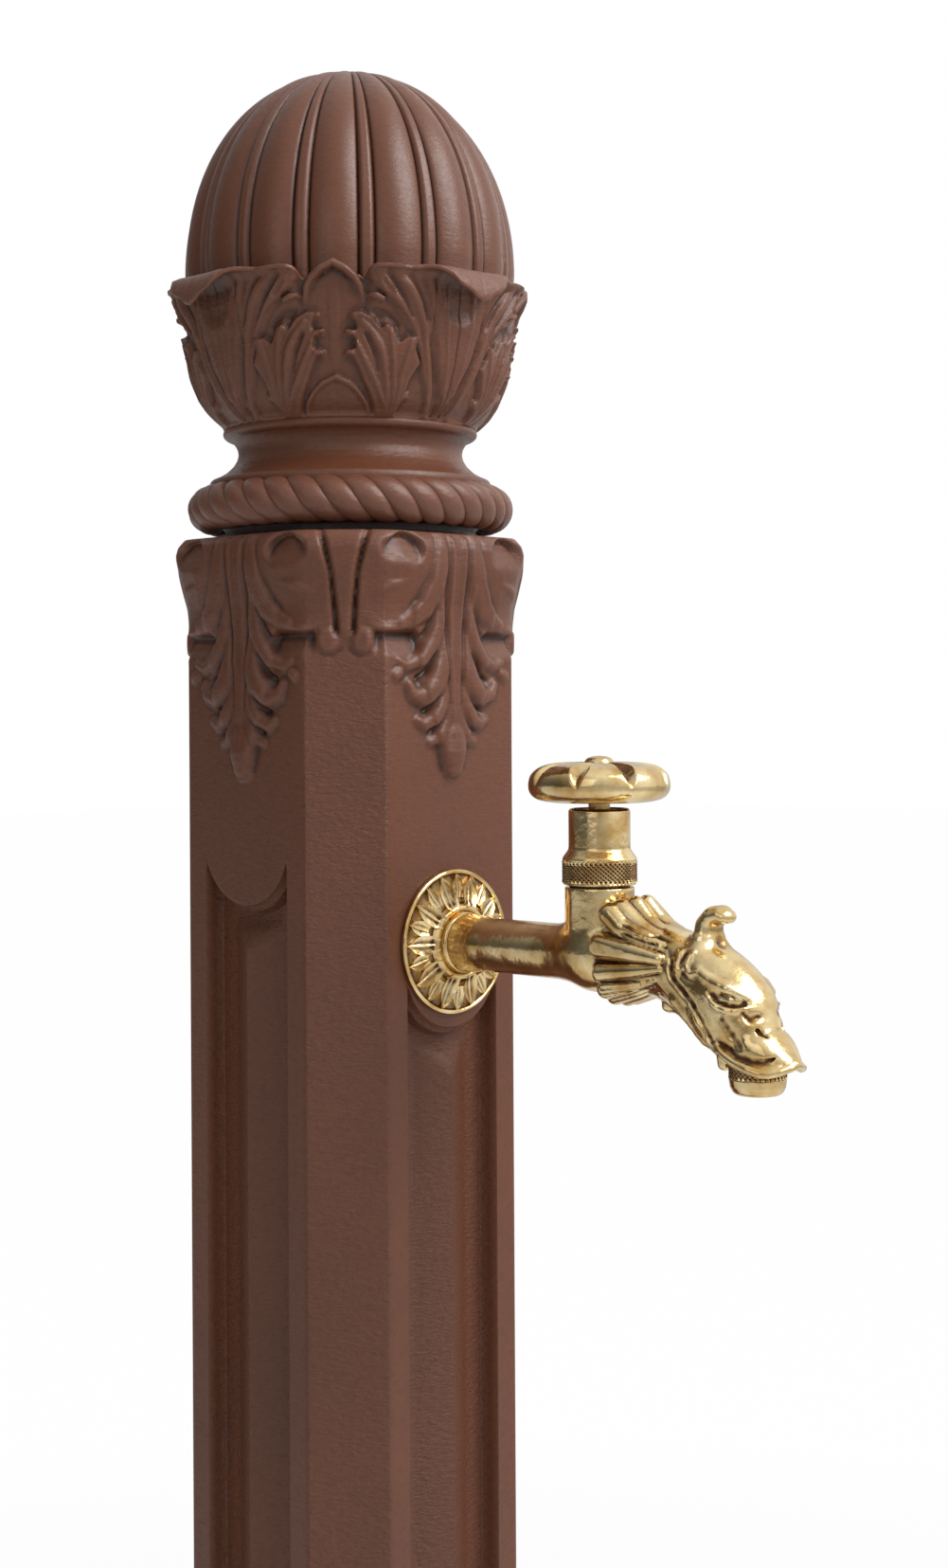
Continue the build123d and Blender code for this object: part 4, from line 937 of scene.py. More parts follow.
@dataclass
class Column:
    """Chamfered square shaft with sunk panels, and its capital with hanging leaves."""

    half_width: float = 56.0
    flat_half: float = 33.8
    chamfer_half: float = 15.7
    corner_radius: float = 2.4
    foot: float = 84.0
    joint: float = 774.0
    top: float = 870.0
    core_half: float = 42.0
    panel_half: float = 23.6
    panel_depth: float = 8.0
    panel_foot: float = 122.0
    panel_horn: float = 746.0
    tap_panel_horn: float = 699.0
    tongue: float = 18.0
    ridge_half: float = 14.0
    ridge_height: float = 7.4
    ridge_hip: float = 9.0
    horn_end: float = 736.0
    stud_hole: float = 6.2
    plate: float = 8.0
    leaf_step: float = 0.66

    def place(self, across: np.ndarray, out: np.ndarray, level: np.ndarray) -> np.ndarray:
        """Points of one quarter of the shaft, the one that faces the tap.

        Args:
            across: distance along the perimeter from the middle of the main face.
            out: height over the plain surface.
            level: level of each point.

        Returns:
            An array of x, y and z.
        """
        side, far = np.sign(across), np.abs(across)
        trim = self.corner_radius * math.tan(math.pi / 8)
        start = self.flat_half - trim
        bend = np.clip((far - start) / (2 * trim), 0, 1) * math.pi / 4
        along = np.minimum(far, start)
        past = np.maximum(far - start - 2 * trim, 0)
        x = along + (self.corner_radius + out) * np.sin(bend) + past * math.sqrt(0.5)
        y = -(self.half_width - self.corner_radius) - (self.corner_radius + out) * np.cos(bend) \
            + past * math.sqrt(0.5)
        return np.stack([side * x, y, level], axis=-1)

    def perimeter(self, steps: Sequence[float]) -> np.ndarray:
        """Even and mirrored steps across one quarter, without its last point."""
        half = np.array(sorted(set(steps)))
        return np.concatenate([-half[::-1], half[1:]])[:-1]

    def close_ring(self, quarters: list[np.ndarray]) -> np.ndarray:
        """Joins four quarters, each turned to its place, into full rings."""
        turned = []
        for turn, quarter in enumerate(quarters):
            cos, sin = round(math.cos(turn * math.pi / 2)), round(math.sin(turn * math.pi / 2))
            x, y = quarter[..., 0], quarter[..., 1]
            turned.append(np.stack([x * cos - y * sin, x * sin + y * cos, quarter[..., 2]], axis=-1))
        return np.concatenate(turned, axis=1)

    def tongue_level(self, across: np.ndarray, horn: float) -> np.ndarray:
        """Level of the panel's upper edge, which hangs down as a round tongue."""
        radius = (self.panel_half ** 2 + self.tongue ** 2) / (2 * self.tongue)
        near = np.minimum(across, self.panel_half)
        arc = horn - (np.sqrt(radius ** 2 - near ** 2) - (radius - self.tongue))
        blend = ramp(self.panel_half, self.flat_half + 8, across)
        return arc * (1 - blend) + self.horn_end * blend

    def shaft_quarter(self, across: np.ndarray, horn: float) -> tuple[np.ndarray, np.ndarray]:
        """Points and grain of one quarter of the plain shaft.

        Args:
            across: perimeter steps.
            horn: level of the panel's upper corners.

        Returns:
            Points by row and column, and the grain there.
        """
        far = np.abs(across)
        edge = self.tongue_level(far, horn)
        low = [self.foot, 104, 120, 121.6, 122.4, 122.9, 126, 134]
        near_top = [-30, -24, -19, -15.5, -12, -9.5, -7, -5, -3.4, -2.2, -1.3, -0.6, 0.2, 1, 2.2, 5]
        middle = np.linspace(0, 1, 14)[1:-1]
        rows = [np.full_like(far, z) for z in low]
        rows += [134.0 + (edge - 30.0 - 134) * share for share in middle]
        rows += [edge + step for step in near_top]
        rows += [edge + 5.0 + (self.joint - edge - 5) * share for share in (0.2, 0.45, 0.7, 1)]
        level = np.array(rows)
        wide = np.broadcast_to(far, level.shape)
        inside = ramp(0, 1.2, self.panel_half + 0.3 - wide) * ramp(0, 1.2, level - self.panel_foot + 0.3) \
            * ramp(0, 1.2, edge + 0.3 - level)
        step_edge = ramp(2.2, 3.4, edge - level) * 0.55 + 0.45
        middle_edge = horn - self.tongue
        ends = np.minimum(level - self.panel_foot - 3, middle_edge - 6.0 - level) / self.ridge_hip
        ridge = np.clip(np.minimum(1.0 - wide / self.ridge_half, ends), 0, 1)
        out = -inside * (self.panel_depth * step_edge - self.ridge_height * ridge)
        grain = np.maximum(ramp(self.flat_half - 1, self.flat_half + 1, wide), inside)
        return self.place(np.broadcast_to(across, level.shape), out, level), np.clip(grain, 0.18, 1)

    def build_shaft(self, finishes: Finishes) -> None:
        """Makes the shaft as one closed tube with its panels."""
        steps = [0, 2, 4.5, 7, 9.5, 12, 13.6, 14.4, 17, 20, 22.4, 22.9, 23.3, 23.7, 24.1, 26, 29, 31.5,
                 32.8, 33.2, 33.6, 34, 34.4, 34.8, 36, 39, 43, 46, 49.5]
        across = self.perimeter(steps)
        quarters = [self.shaft_quarter(across, self.tap_panel_horn if turn == 0 else self.panel_horn)
                    for turn in range(4)]
        outer = self.close_ring([quarter[0] for quarter in quarters])
        grain = np.concatenate([quarter[1] for quarter in quarters], axis=1)
        inner = outer[[-1, 0]].copy()
        inner[..., :2] *= self.core_half / self.half_width
        points = np.concatenate([outer, inner]).reshape(-1, 3)
        marks = {"grain": np.concatenate([grain, grain[[-1, 0]]])}
        faces = grid_faces(len(outer) + 2, outer.shape[1], True, True)
        mesh = make_mesh("shaft", points, faces, marks, 38)
        mesh.attributes.new("hollow", "FLOAT", "POINT")
        add_piece("column_shaft", mesh, finishes, Slot.IRON, ["column"])

    def capital_relief(self, across: np.ndarray, level: np.ndarray) -> tuple[np.ndarray, np.ndarray]:
        """Height and grain of the capital's ornament over half a quarter.

        Args:
            across: distance from the main face's middle.
            level: level of each point.

        Returns:
            Height over the plain shaft, and grain.
        """
        limit = np.interp(level, [774, 826, 830, 833.5, 836.6, 839.6, 842.6, 845.7, 848.7, 851.8, 854.8,
                                  857.8, 861,
                                  864, 867, 869.4, 870],
                          [0, 0.1, 0.2, 0.4, 0.6, 1, 1.4, 2.3, 3.2, 4, 4.8, 5.3, 5.5, 5.7, 4.8, 2.6, 1.7])
        flare = 0.62 * limit
        leaf_edge = np.interp(level, [774, 775.6, 781, 789, 797, 806, 820, 835, 868, 870],
                              [0, 3, 6, 7.6, 11, 15, 19, 22, 25, 25])
        blanket = 0.9 * ramp(0, 1.4, leaf_edge - across) * ramp(774.6, 778, level)
        main = draw((
            Stroke(((0, 868), (0, 835), (0, 800), (0, 789)), (11, 7.4, 5.6, 6.4), (0.6, 1.4, 1.9, 2.2)),
            Stroke(((0, 792), (0, 785), (0.4, 781)), (6.8, 6.9, 4.8), (2.6, 3.3, 2.4)),
            Stroke(((8.2, 868), (9.2, 858), (11.2, 849), (15.4, 841.4), (21.6, 837.2), (26, 835.4)),
                   (3.6, 4.6, 5.4, 5.6, 4.4, 2.6), (1, 1.7, 2.2, 2.4, 2.1, 1.4)),
            Stroke(((6.6, 850), (8, 838), (11, 828.4), (16.6, 821.8), (23.6, 819.2), (27.6, 821)),
                   (3, 4, 4.2, 3.6, 2.8, 1.6), (0.8, 1.6, 2.3, 2.4, 2, 1.2)),
            Stroke(((4.6, 834), (6, 822), (9.2, 812.8), (15.4, 807.4), (21, 808.6), (23.2, 812.6)),
                   (2.8, 4.6, 5.6, 5, 3.6, 2), (0.8, 1.9, 2.9, 3.3, 2.9, 1.8)),
            Stroke(((4, 816), (5.8, 806.6), (9.6, 799.8), (14.6, 797), (18.2, 798.8)),
                   (2.2, 3.4, 4, 3.2, 1.8),
                   (0.8, 1.7, 2.5, 2.5, 1.5)),
            Stroke(((3.4, 804), (4.8, 797), (8, 791.8), (12, 790.4)), (1.8, 3, 3, 1.8),
                   (0.8, 1.6, 2.1, 1.3)),
            Stroke(((27.8, 816.6), (29.4, 815.6)), (2.3,), (1.5,)),
        ), across, level, 0.6)
        ridge = draw((
            Stroke(((3.4, 868), (2.8, 840), (1.8, 805), (0.8, 790)), (0.8, 0.8, 0.7, 0.5),
                   (1, 0.9, 0.8, 0.4)),
            Stroke(((9, 850), (7.4, 838), (5.2, 820), (3.4, 800)), (0.8, 0.8, 0.7, 0.5),
                   (0.5, 0.7, 0.6, 0.3)),
            Stroke(((12, 862), (13.6, 852), (18.6, 843), (24, 838.6)), (0.9, 1.1, 1.1, 0.8),
                   (0.3, 0.6, 0.7, 0.4)),
        ), across, level, 0.3)
        sunk = draw((
            Stroke(((6.2, 868), (5, 840), (3.4, 812), (2.2, 797)), (0.8, 0.9, 0.8, 0.5),
                   (0.7, 0.9, 0.8, 0.3)),
            Stroke(((10.4, 842), (13.2, 833.4), (18.8, 828), (25, 825.4)), (0.7, 1.2, 1.5, 1),
                   (0.5, 1.4, 1.8, 1)),
            Stroke(((9.4, 824.4), (13.2, 817.8), (18.6, 814.2)), (0.8, 1.5, 1.3), (0.8, 2.3, 2.2)),
            Stroke(((7.4, 809), (10.4, 804.4), (15.4, 802)), (0.5, 1, 0.9), (0.5, 1.6, 1.5)),
            Stroke(((5.8, 800), (8.2, 796.2), (11.8, 794.4)), (0.5, 1, 0.9), (0.4, 1.3, 1.1)),
        ), across, level, 0.3, 1.2)
        leaf = flare + blanket + main + ridge - sunk
        corner = (self.flat_half + self.chamfer_half) - across
        bowl = ((corner - 22.5) / 8.6) ** 2 + ((level - 862.4) / 6.9) ** 2
        cut = draw((
            Stroke(((9, 870.6), (6.8, 862), (5, 854), (3.8, 842), (3.2, 831)), (1.35, 1.3, 1.25, 1.2, 1.2),
                   (2.3, 2.2, 2.1, 2, 1.8)),
            Stroke(((15, 852), (15.6, 842)), (10.5, 9), (1.3, 1)),
            Stroke(((11.2, 832.2), (10.9, 828), (8.6, 824), (4.8, 823), (1.4, 825.4)), (1.2,), (0.9,)),
        ), corner, level, 0.4, 1.3) + ramp(1.02, 0.8, bowl) * 4.2 * ramp(855.8, 867, level)
        fold = draw((
            Stroke(((12.6, 846.4), (17.4, 849.4), (24, 851)), (1.4, 1.7, 1), (0.4, 0.9, 0.3)),
            Stroke(((6.5, 829.6), (6.6, 827.6)), (4.3, 4), (1.5, 1.5)),
            Stroke(((0, 870), (0, 852), (0, 832)), (6.6, 4.4, 2.4), (0.3, 0.4, 0.5)),
        ), corner, level, 0.4)
        wide = ramp(10.6, 11.8, corner) * ramp(37, 33, corner)
        shell = 0.92 * limit + 0.1 - cut + fold
        sunk_rise = 2.2 * ramp(822.4, 828, level) + 0.9 * ramp(828, 829.4, level)
        ledge = 0.1 + fold - 0.6 * cut - wide * sunk_rise
        bone = np.where(level > 831.6, ledge + (shell - ledge) * ramp(831.6, 832.6, level), ledge)
        knob = 1.1 * ramp(11.6, 9.4, corner) * ramp(822.6, 825, level)
        slack = 0.8 * np.maximum(corner - self.chamfer_half, 0) + knob
        bone = np.minimum(bone, 1.05 * limit + 0.15 + slack)
        shell_edge = np.interp(level, [820, 830, 836, 842, 850, 858, 868], [36, 33, 29, 31, 34.5, 36.5, 37])
        near = ramp(0, 1.6, shell_edge - corner) * ramp(820.4, 821.6, level)
        total = leaf + (bone - leaf) * near
        total = np.where(main - sunk > 0.5, np.maximum(total, leaf), total)
        total = np.minimum(total, 1.2 * limit + 0.3 + slack)
        soft = np.clip(1.0 - np.abs(corner - self.chamfer_half) / 6, 0, 1) ** 2
        total = total - 1.0 * soft * ramp(832, 836, level)
        for axis in (0, 1):
            last = total.shape[axis] - 1
            ahead, behind = (np.take(total, np.clip(np.arange(last + 1) + step, 0, last),
                                     axis) for step in (1, -1))
            total = 0.5 * total + 0.25 * (ahead + behind)
        total = total * ramp(774.2, 776.4, level)
        grain = np.maximum(0.18, ramp(self.flat_half - 1, self.flat_half + 1, across)
                           * (1.0 - 0.6 * ramp(821, 824, level)))
        return np.maximum(total, -3.2), grain

    def build_capital(self, finishes: Finishes) -> None:
        """Makes the capital, closed by its top plate and open below into the shaft."""
        half = self.flat_half + self.chamfer_half
        across = self.perimeter([*np.arange(0, half, self.leaf_step), half])
        level = np.concatenate([np.arange(self.joint, 862, self.leaf_step), np.arange(862, 869.2, 0.5),
                                [869.6, self.top]])
        wide, high = np.meshgrid(across, level)
        height, grain = self.capital_relief(np.abs(wide), high)
        outer = self.close_ring([self.place(wide, height, high)] * 4)
        grains = np.tile(grain, (1, 4))
        ring = outer[-1]
        angle = np.arctan2(ring[:, 1], ring[:, 0])
        hole = np.stack([self.stud_hole * np.cos(angle), self.stud_hole * np.sin(angle)], axis=-1)
        plate = []
        for share, z in ((0.04, self.top), (0.5, self.top), (1, self.top), (1, self.top - self.plate)):
            flat = ring[:, :2] * (1 - share) + hole * share
            plate.append(np.column_stack([flat, np.full(len(flat), z)]))
        base = outer[0][:, :2] * (self.core_half / self.half_width)
        for z in (self.top - self.plate, self.joint):
            plate.append(np.column_stack([base, np.full(len(base), z)]))
        points = np.concatenate([outer, np.array(plate)]).reshape(-1, 3)
        marks = {"grain": np.concatenate([grains, np.full((len(plate), grains.shape[1]), 0.3)])}
        mesh = make_mesh("capital", points, grid_faces(len(outer) + len(plate), outer.shape[1], True, True),
                         marks, 62)
        mark_hollows(mesh, 1.1, 14)
        calm(mesh, self.joint - 1, self.joint + 5)
        add_piece("column_capital", mesh, finishes, Slot.IRON, ["column"])

    def build(self, finishes: Finishes) -> None:
        """Builds and dresses the whole column."""
        self.build_shaft(finishes)
        self.build_capital(finishes)


# Finial


@dataclass
class Finial:
    """Top casting: foot, rope ring, neck, leaf cup with curled tips, and ribbed dome."""

    turn: float = -3.0
    rope_radius: float = 55.8
    rope_level: float = 882.5
    rope_thickness: float = 9.1
    strands: int = 36
    dome_radius: float = 66.0
    dome_foot: float = 976.0
    dome_top: float = 1056.5
    squareness: float = 2.06
    ribs: int = 16
    lip_foot: float = 961.6
    cup_foot: float = 913.8
    cup_top: float = 972.0
    half_leaf: float = 51.84
    wall_rows: int = 70
    wall: float = 1.7

    def build_neck(self, finishes: Finishes) -> None:
        """Turns the foot, the step, the hollow neck and the collar."""
        outline = rounded([
            (6.2, 870), (49, 870), (50, 871.2), (50, 874), (54, 877.5), (58, 882), (57.6, 886.4),
            (56.2, 889.8), (56.4, 892), (55.6, 893.8), (53.6, 894.4), (49.8, 896.6), (46.8, 899.4),
                           (45.2, 902),
            (44.6, 904.4), (45, 906.8), (46.3, 909), (47.6, 910.3), (49.2, 910.5), (50.4, 911.4),
                           (50.8, 912.6),
            (50.4, 913.8), (49.4, 914.4), (48.6, 918), (40, 920), (38.5, 905), (38.5, 899), (6.2, 899)],
                          0.8, 3)
        points, faces = turned_grid(outline, 180, True)
        mesh = make_mesh("neck", points, faces, {"grain": np.full(len(points), 0.22)}, 60)
        mark_hollows(mesh, 1.6, 10)
        # Painted shadow: the foot under the rope is set fully hollow, so its paint is darkened as if in
        # shade.
        calm(mesh, 869, 890, 1)
        add_piece("finial_neck", mesh, finishes, Slot.IRON, ["finial"])

    def build_rope(self, finishes: Finishes) -> None:
        """Lays slanted strands over the rope ring."""
        reach = math.radians(152)
        along = np.linspace(-reach, reach, 31)
        across = np.linspace(0, 2.0 * math.pi, 17)[:-1]
        span = 2.0 * math.pi / self.strands
        rows = []
        for place in along:
            close = max(0, 1.0 - (abs(place) / reach) ** 8)
            side = 0.56 * span * close * np.cos(across)
            proud = np.where(np.sin(across) > 0, 2.6 * close * np.abs(np.sin(across)) ** 0.85,
                             -3.0 * close * np.abs(np.sin(across)))
            out = self.rope_thickness - 2.6 + proud
            ring = self.rope_radius + out * math.cos(place)
            angle = side - 3.0 * place / self.strands
            rows.append(np.stack([ring * np.cos(angle), ring * np.sin(angle),
                                  self.rope_level + out * math.sin(place)], axis=-1))
        points = np.concatenate(rows)
        faces = grid_faces(len(rows), len(across))
        strand = make_mesh("strand", points, faces, {"grain": np.full(len(points), 0.2)}, 80, 0.01)
        mesh = round_array("rope_strands", strand, self.strands, 4, (0, 0, 0), 0, finishes.iron)
        mark_hollows(mesh, 1, 4)
        add_piece("finial_rope", mesh, finishes, Slot.IRON, ["finial"])

    def leaf_relief(self, across: np.ndarray, level: np.ndarray) -> np.ndarray:
        """Height of the cup's leaves over an eighth of the cup.

        Args:
            across: distance round from the middle of a main leaf, in millimetres at the rim.
            level: level of each point.

        Returns:
            Height over the plain cup.
        """
        fields = (
            Patch(((9, 912), (12, 922), (16, 930), (18.5, 938), (21, 945), (25, 950), (30, 954.6),
                   (35.5, 958.6), (39.2, 963), (38.8, 975), (12, 975), (12, 940), (4, 912)), 1.5, 1.6),
            Patch(((32.6, 954.2), (36, 954.8), (40, 956.6), (39, 958.2), (35.4, 958.2), (32.2, 956.4)), 2.1,
                  0.9),
            Patch(((46.9, 949.8), (44.4, 951.4), (41.6, 951.6), (37.4, 949.4), (34, 945.8), (31.8, 947.4),
                   (28.6, 946.4),
                   (26, 941.2), (22.8, 943.4), (18, 943.2), (18.6, 938.4), (15.9, 933), (17.6, 930.6),
                   (20.2, 926),
                   (20.8, 922.8), (19.2, 920.2), (22, 918.4), (25, 912), (33, 912), (37, 920),
                   (40.6, 926), (43.6, 932), (44.8, 934), (48.4, 935.2), (48, 937.2), (43.9, 938.4),
                   (44.4, 941.4), (48.2, 942.8), (47.9, 945), (43.7, 945), (44, 947.2)), 2.2, 1.1),
            Patch(((-1, 912), (3.4, 912), (5.8, 925), (9.8, 935), (12.4, 945), (13.6, 955), (13.6, 975),
                   (-1, 975)), 1.9, 2.4),
            Patch(((51.9, 927), (46, 924.8), (41.8, 921.8), (38.4, 918), (35, 912), (51.9, 912)), 0.3, 0.8),
        )
        height = np.zeros_like(across)
        for field in fields:
            height = np.maximum(height, field.lift(across, level))
        ribs = draw((
            Stroke(((35.4, 966), (32.5, 961), (29, 956.4), (25.5, 951.6), (21, 945.6), (17.8, 939)),
                   (1.8, 2.2, 2.2, 1.8, 1.3, 0.9), (0.9, 1.1, 1.1, 0.9, 0.6, 0.3)),
            Stroke(((30, 967), (25, 961.4), (21, 956.8), (18, 951.6), (15.6, 946), (14.4, 938), (11, 926)),
                   (1.5, 2, 2, 1.7, 1.3, 1, 0.8), (0.8, 1.1, 1.1, 0.9, 0.7, 0.5, 0.3)),
            Stroke(((19.6, 969), (15.6, 964), (13.2, 958), (12.8, 950), (11.2, 940), (6.6, 929),
                    (2.6, 919)),
                   (1.6, 1.5, 1.3, 1.1, 0.9, 0.8), (1, 1, 0.8, 0.6, 0.5, 0.4)),
            Stroke(((0, 965), (0, 940), (0, 914)), (1.2, 0.9, 0.8), (0.7, 0.6, 0.5)),
            Stroke(((6.4, 962), (6.2, 948), (4.6, 936), (2, 920)), (1.1, 0.8, 0.7), (0.4, 0.5, 0.4)),
            Stroke(((41, 947.4), (36.8, 942.8), (33.5, 937.6), (31.8, 931.6), (30, 923), (28.6, 913)),
                   (1.3, 1.6, 1.4, 1.1, 0.9), (0.7, 1, 0.9, 0.6, 0.4)),
            Stroke(((43.4, 940), (39.6, 933), (36.1, 927), (32.2, 920.6), (27.8, 913)), (1, 1.3, 1.2, 0.9),
                   (0.6, 0.9, 0.8, 0.5)),
            Stroke(((30, 943.5), (28.6, 936), (27.6, 928), (26.4, 915)), (1.1, 1.1, 0.8), (0.5, 0.6, 0.3)),
            Stroke(((21, 941), (22.6, 935), (24.4, 928), (25.2, 915)), (1.3, 1.1, 0.8), (0.6, 0.6, 0.3)),
            Stroke(((45.6, 950), (41.8, 950.6), (37.6, 948.4), (34.6, 945.4)), (0.9, 1.1, 0.9),
                   (0.7, 0.8, 0.6)),
            Stroke(((31.6, 945.8), (31.7, 946.4)), (1.4,), (1,)),
            Stroke(((46.8, 943.8), (44.6, 943)), (1,), (0.8,)),
                     Stroke(((47, 936.2), (44.6, 936)), (0.9,), (0.8,)),
            Stroke(((19.6, 921.2), (19.9, 922)), (1.3,), (1.1,)),
            Stroke(((37, 968.6), (31, 968), (25, 966.6)), (1.3, 1.5, 1.2), (0.6, 1, 0.8)),
        ), across, level, 0.4)
        arches = draw((
            Stroke(((51.9, 968.8), (47.8, 966.6), (44.2, 963.4), (41.8, 960), (40.6, 955)),
                   (1.8, 1.8, 1.7, 1.4, 0.8), (4.4, 4.2, 3.4, 2, 0.5)),
            Stroke(((51.9, 927.6), (46, 925.2), (41.8, 922), (38.4, 918.2), (35, 912)), (1.2, 1.2, 1.1, 1),
                   (1.7, 1.7, 1.6, 1.4)),
            Stroke(((51.9, 958), (51.9, 934)), (2.4,), (0.35,)),
        ), across, level, 0.3)
        sunk = draw((
            Stroke(((2.9, 921), (2.4, 915)), (1.3, 1.6), (1.4, 1.6)),
            Stroke(((0, 962), (0, 957), (0, 952.5)), (11, 9, 5), (2.8, 2.2, 0.6)),
            Stroke(((30.5, 958), (33.5, 962)), (1.6, 1.2), (0.9, 0.8)),
            Stroke(((32.5, 966), (29, 960.6), (25.2, 955.6), (21.6, 950)), (1, 1.1, 0.9), (0.9, 1, 0.6)),
            Stroke(((24.5, 966), (20.6, 961), (17.4, 955.6), (15.2, 949)), (1.1, 1.1, 0.9), (0.9, 1, 0.6)),
            Stroke(((39.4, 943), (36.4, 937), (34.4, 930)), (1.1, 1.1, 0.9), (0.9, 0.9, 0.5)),
        ), across, level, 0.3, 1)
        pit = Patch(((38.6, 953.6), (33, 953.2), (29, 951), (25, 947), (26.4, 943.6), (29, 947),
                     (32, 948.6),
                     (35, 947.6), (38, 950.6)), 1, 1.4).lift(across, level)
        swell = 1.5 * ramp(946, 957, level) * ramp(39.6, 36.4, across) * ramp(15, 23, across)
        ground = np.maximum(height, 0) + swell + ribs - sunk * (height > 0.5) - pit
        return ground + np.maximum(arches - height, 0) - 1.3

    def lip(self, across: np.ndarray, steps: np.ndarray) -> np.ndarray:
        """Run of the rim past the lip's foot.

        Each main leaf has a curled tip and a low roll beside it. A pointed arch stands between
        two leaves.

        Args:
            across: distance round from the middle of a main leaf.
            steps: shares of the run from 0 to 1.

        Returns:
            Reach outwards and rise of each point, by step and column.
        """
        curl = np.array([(0, 0), (1, 2.5), (2.8, 4.5), (5.2, 5.2), (7.8, 4.2), (9.6, 1.6), (10.3, -1.8),
                         (10.1, -5.2)])
        share = np.interp(across, [0, 2.5, 5, 7, 9, 12, 16, 20, 24, 28, 32, 36, 38.5, 52],
                          [1, 0.97, 0.88, 0.84, 0.80, 0.66, 0.50, 0.39, 0.34, 0.36, 0.38, 0.36, 0.28, 0.26])
        keys = steps[:, None] * share[None, :] * (len(curl) - 1)
        rolled = Clay.curve(curl, keys.ravel()).reshape(*keys.shape, 2)
        peak = np.interp(across, [38, 40.5, 42.5, 47.6, 51.9],
                         [963.4, 962.8, 964.2, 968, 970.6]) - self.lip_foot
        straight = np.stack([0.6 * steps[:, None] * np.ones_like(across), steps[:, None] * peak[None, :]],
                            axis=-1)
        blend = ramp(37.6, 40.6, across)[None, :, None]
        return rolled * (1.0 - blend) + straight * blend

    def build_cup(self, finishes: Finishes) -> None:
        """Models the leaf cup with its scalloped rim and curled tips, as one closed shell."""
        eighth = np.linspace(0, 45, 89)
        quarter = np.concatenate([-eighth[::-1], eighth[1:]])[:-1]
        wide = np.abs(quarter) * self.half_leaf / 45.0
        plain_levels = [913.8, 915.6, 917.9, 920.2, 924.7, 929.3, 933.8, 938.4, 943, 947.5, 952.1, 956.6,
                        961.4, 966, 972]
        plain_radii = [50.2, 51.8, 54.2, 56.2, 58.8, 60.4, 62, 63.1, 64, 65.1, 65.9, 66.8, 67.7, 68.4, 67.8]
        wall = np.linspace(self.cup_foot, self.lip_foot, self.wall_rows)[:, None] * np.ones_like(wide)
        steps = np.linspace(0, 1, 19)[1:]
        run = self.lip(wide, steps)
        level = np.vstack([wall, self.lip_foot + run[..., 1]])
        far = np.broadcast_to(wide, level.shape)
        arch = ramp(37.6, 40.6, far)
        relief = self.leaf_relief(far, np.where(arch > 0, level, np.minimum(level, self.lip_foot + 3)))
        radius = np.interp(np.minimum(level, self.cup_top), plain_levels, plain_radii)
        past = np.vstack([np.zeros_like(wall), run[..., 0]])
        base = np.interp(self.lip_foot, plain_levels, plain_radii)
        radius = np.where(past > 0, (base + past) * (1.0 - arch) + radius * arch, radius)
        fade = np.concatenate([np.ones(self.wall_rows), 1.0 - 0.75 * steps])[:, None] * (1.0 - arch) + arch
        radius = radius + relief * fade * ramp(self.cup_foot, 916, level)
        points_out = np.stack([radius, level], axis=-1)
        away = np.gradient(points_out, axis=0)
        away = np.stack([-away[..., 1], away[..., 0]], axis=-1)
        away /= np.maximum(np.linalg.norm(away, axis=-1), 1e-9)[..., None]
        back = (points_out + self.wall * away)[self.wall_rows:][::-1]
        tip = points_out[-1] + 0.5 * self.wall * away[-1] + 0.55 * np.stack([away[-1][:, 1],
                                                                             -away[-1][:, 0]], axis=-1)
        back[..., 0] = np.maximum(back[..., 0], 66.1)
        low = back[-1].copy()
        low[:, 0], low[:, 1] = 61, self.lip_foot - 4.0
        inner = [low, np.stack([np.full_like(wide, 48), np.full_like(wide, 925)], axis=-1),
                 np.stack([np.full_like(wide, 46), np.full_like(wide, self.cup_foot)], axis=-1)]
        sheet = np.concatenate([points_out, tip[None], back, np.array(inner)])
        sheet = np.tile(sheet, (1, 4, 1))
        angle = np.radians(np.concatenate([quarter + 90.0 * turn for turn in range(4)]) - 90.0 + self.turn)
        points = np.stack([sheet[..., 0] * np.cos(angle), sheet[..., 0] * np.sin(angle), sheet[..., 1]],
                          axis=-1)
        mesh = make_mesh("cup", points.reshape(-1, 3), grid_faces(len(sheet), sheet.shape[1], True, True),
                         {"grain": np.full(points.shape[0] * points.shape[1], 0.3)}, 65)
        mark_hollows(mesh, 1.2, 14)
        add_piece("finial_cup", mesh, finishes, Slot.IRON, ["finial"])

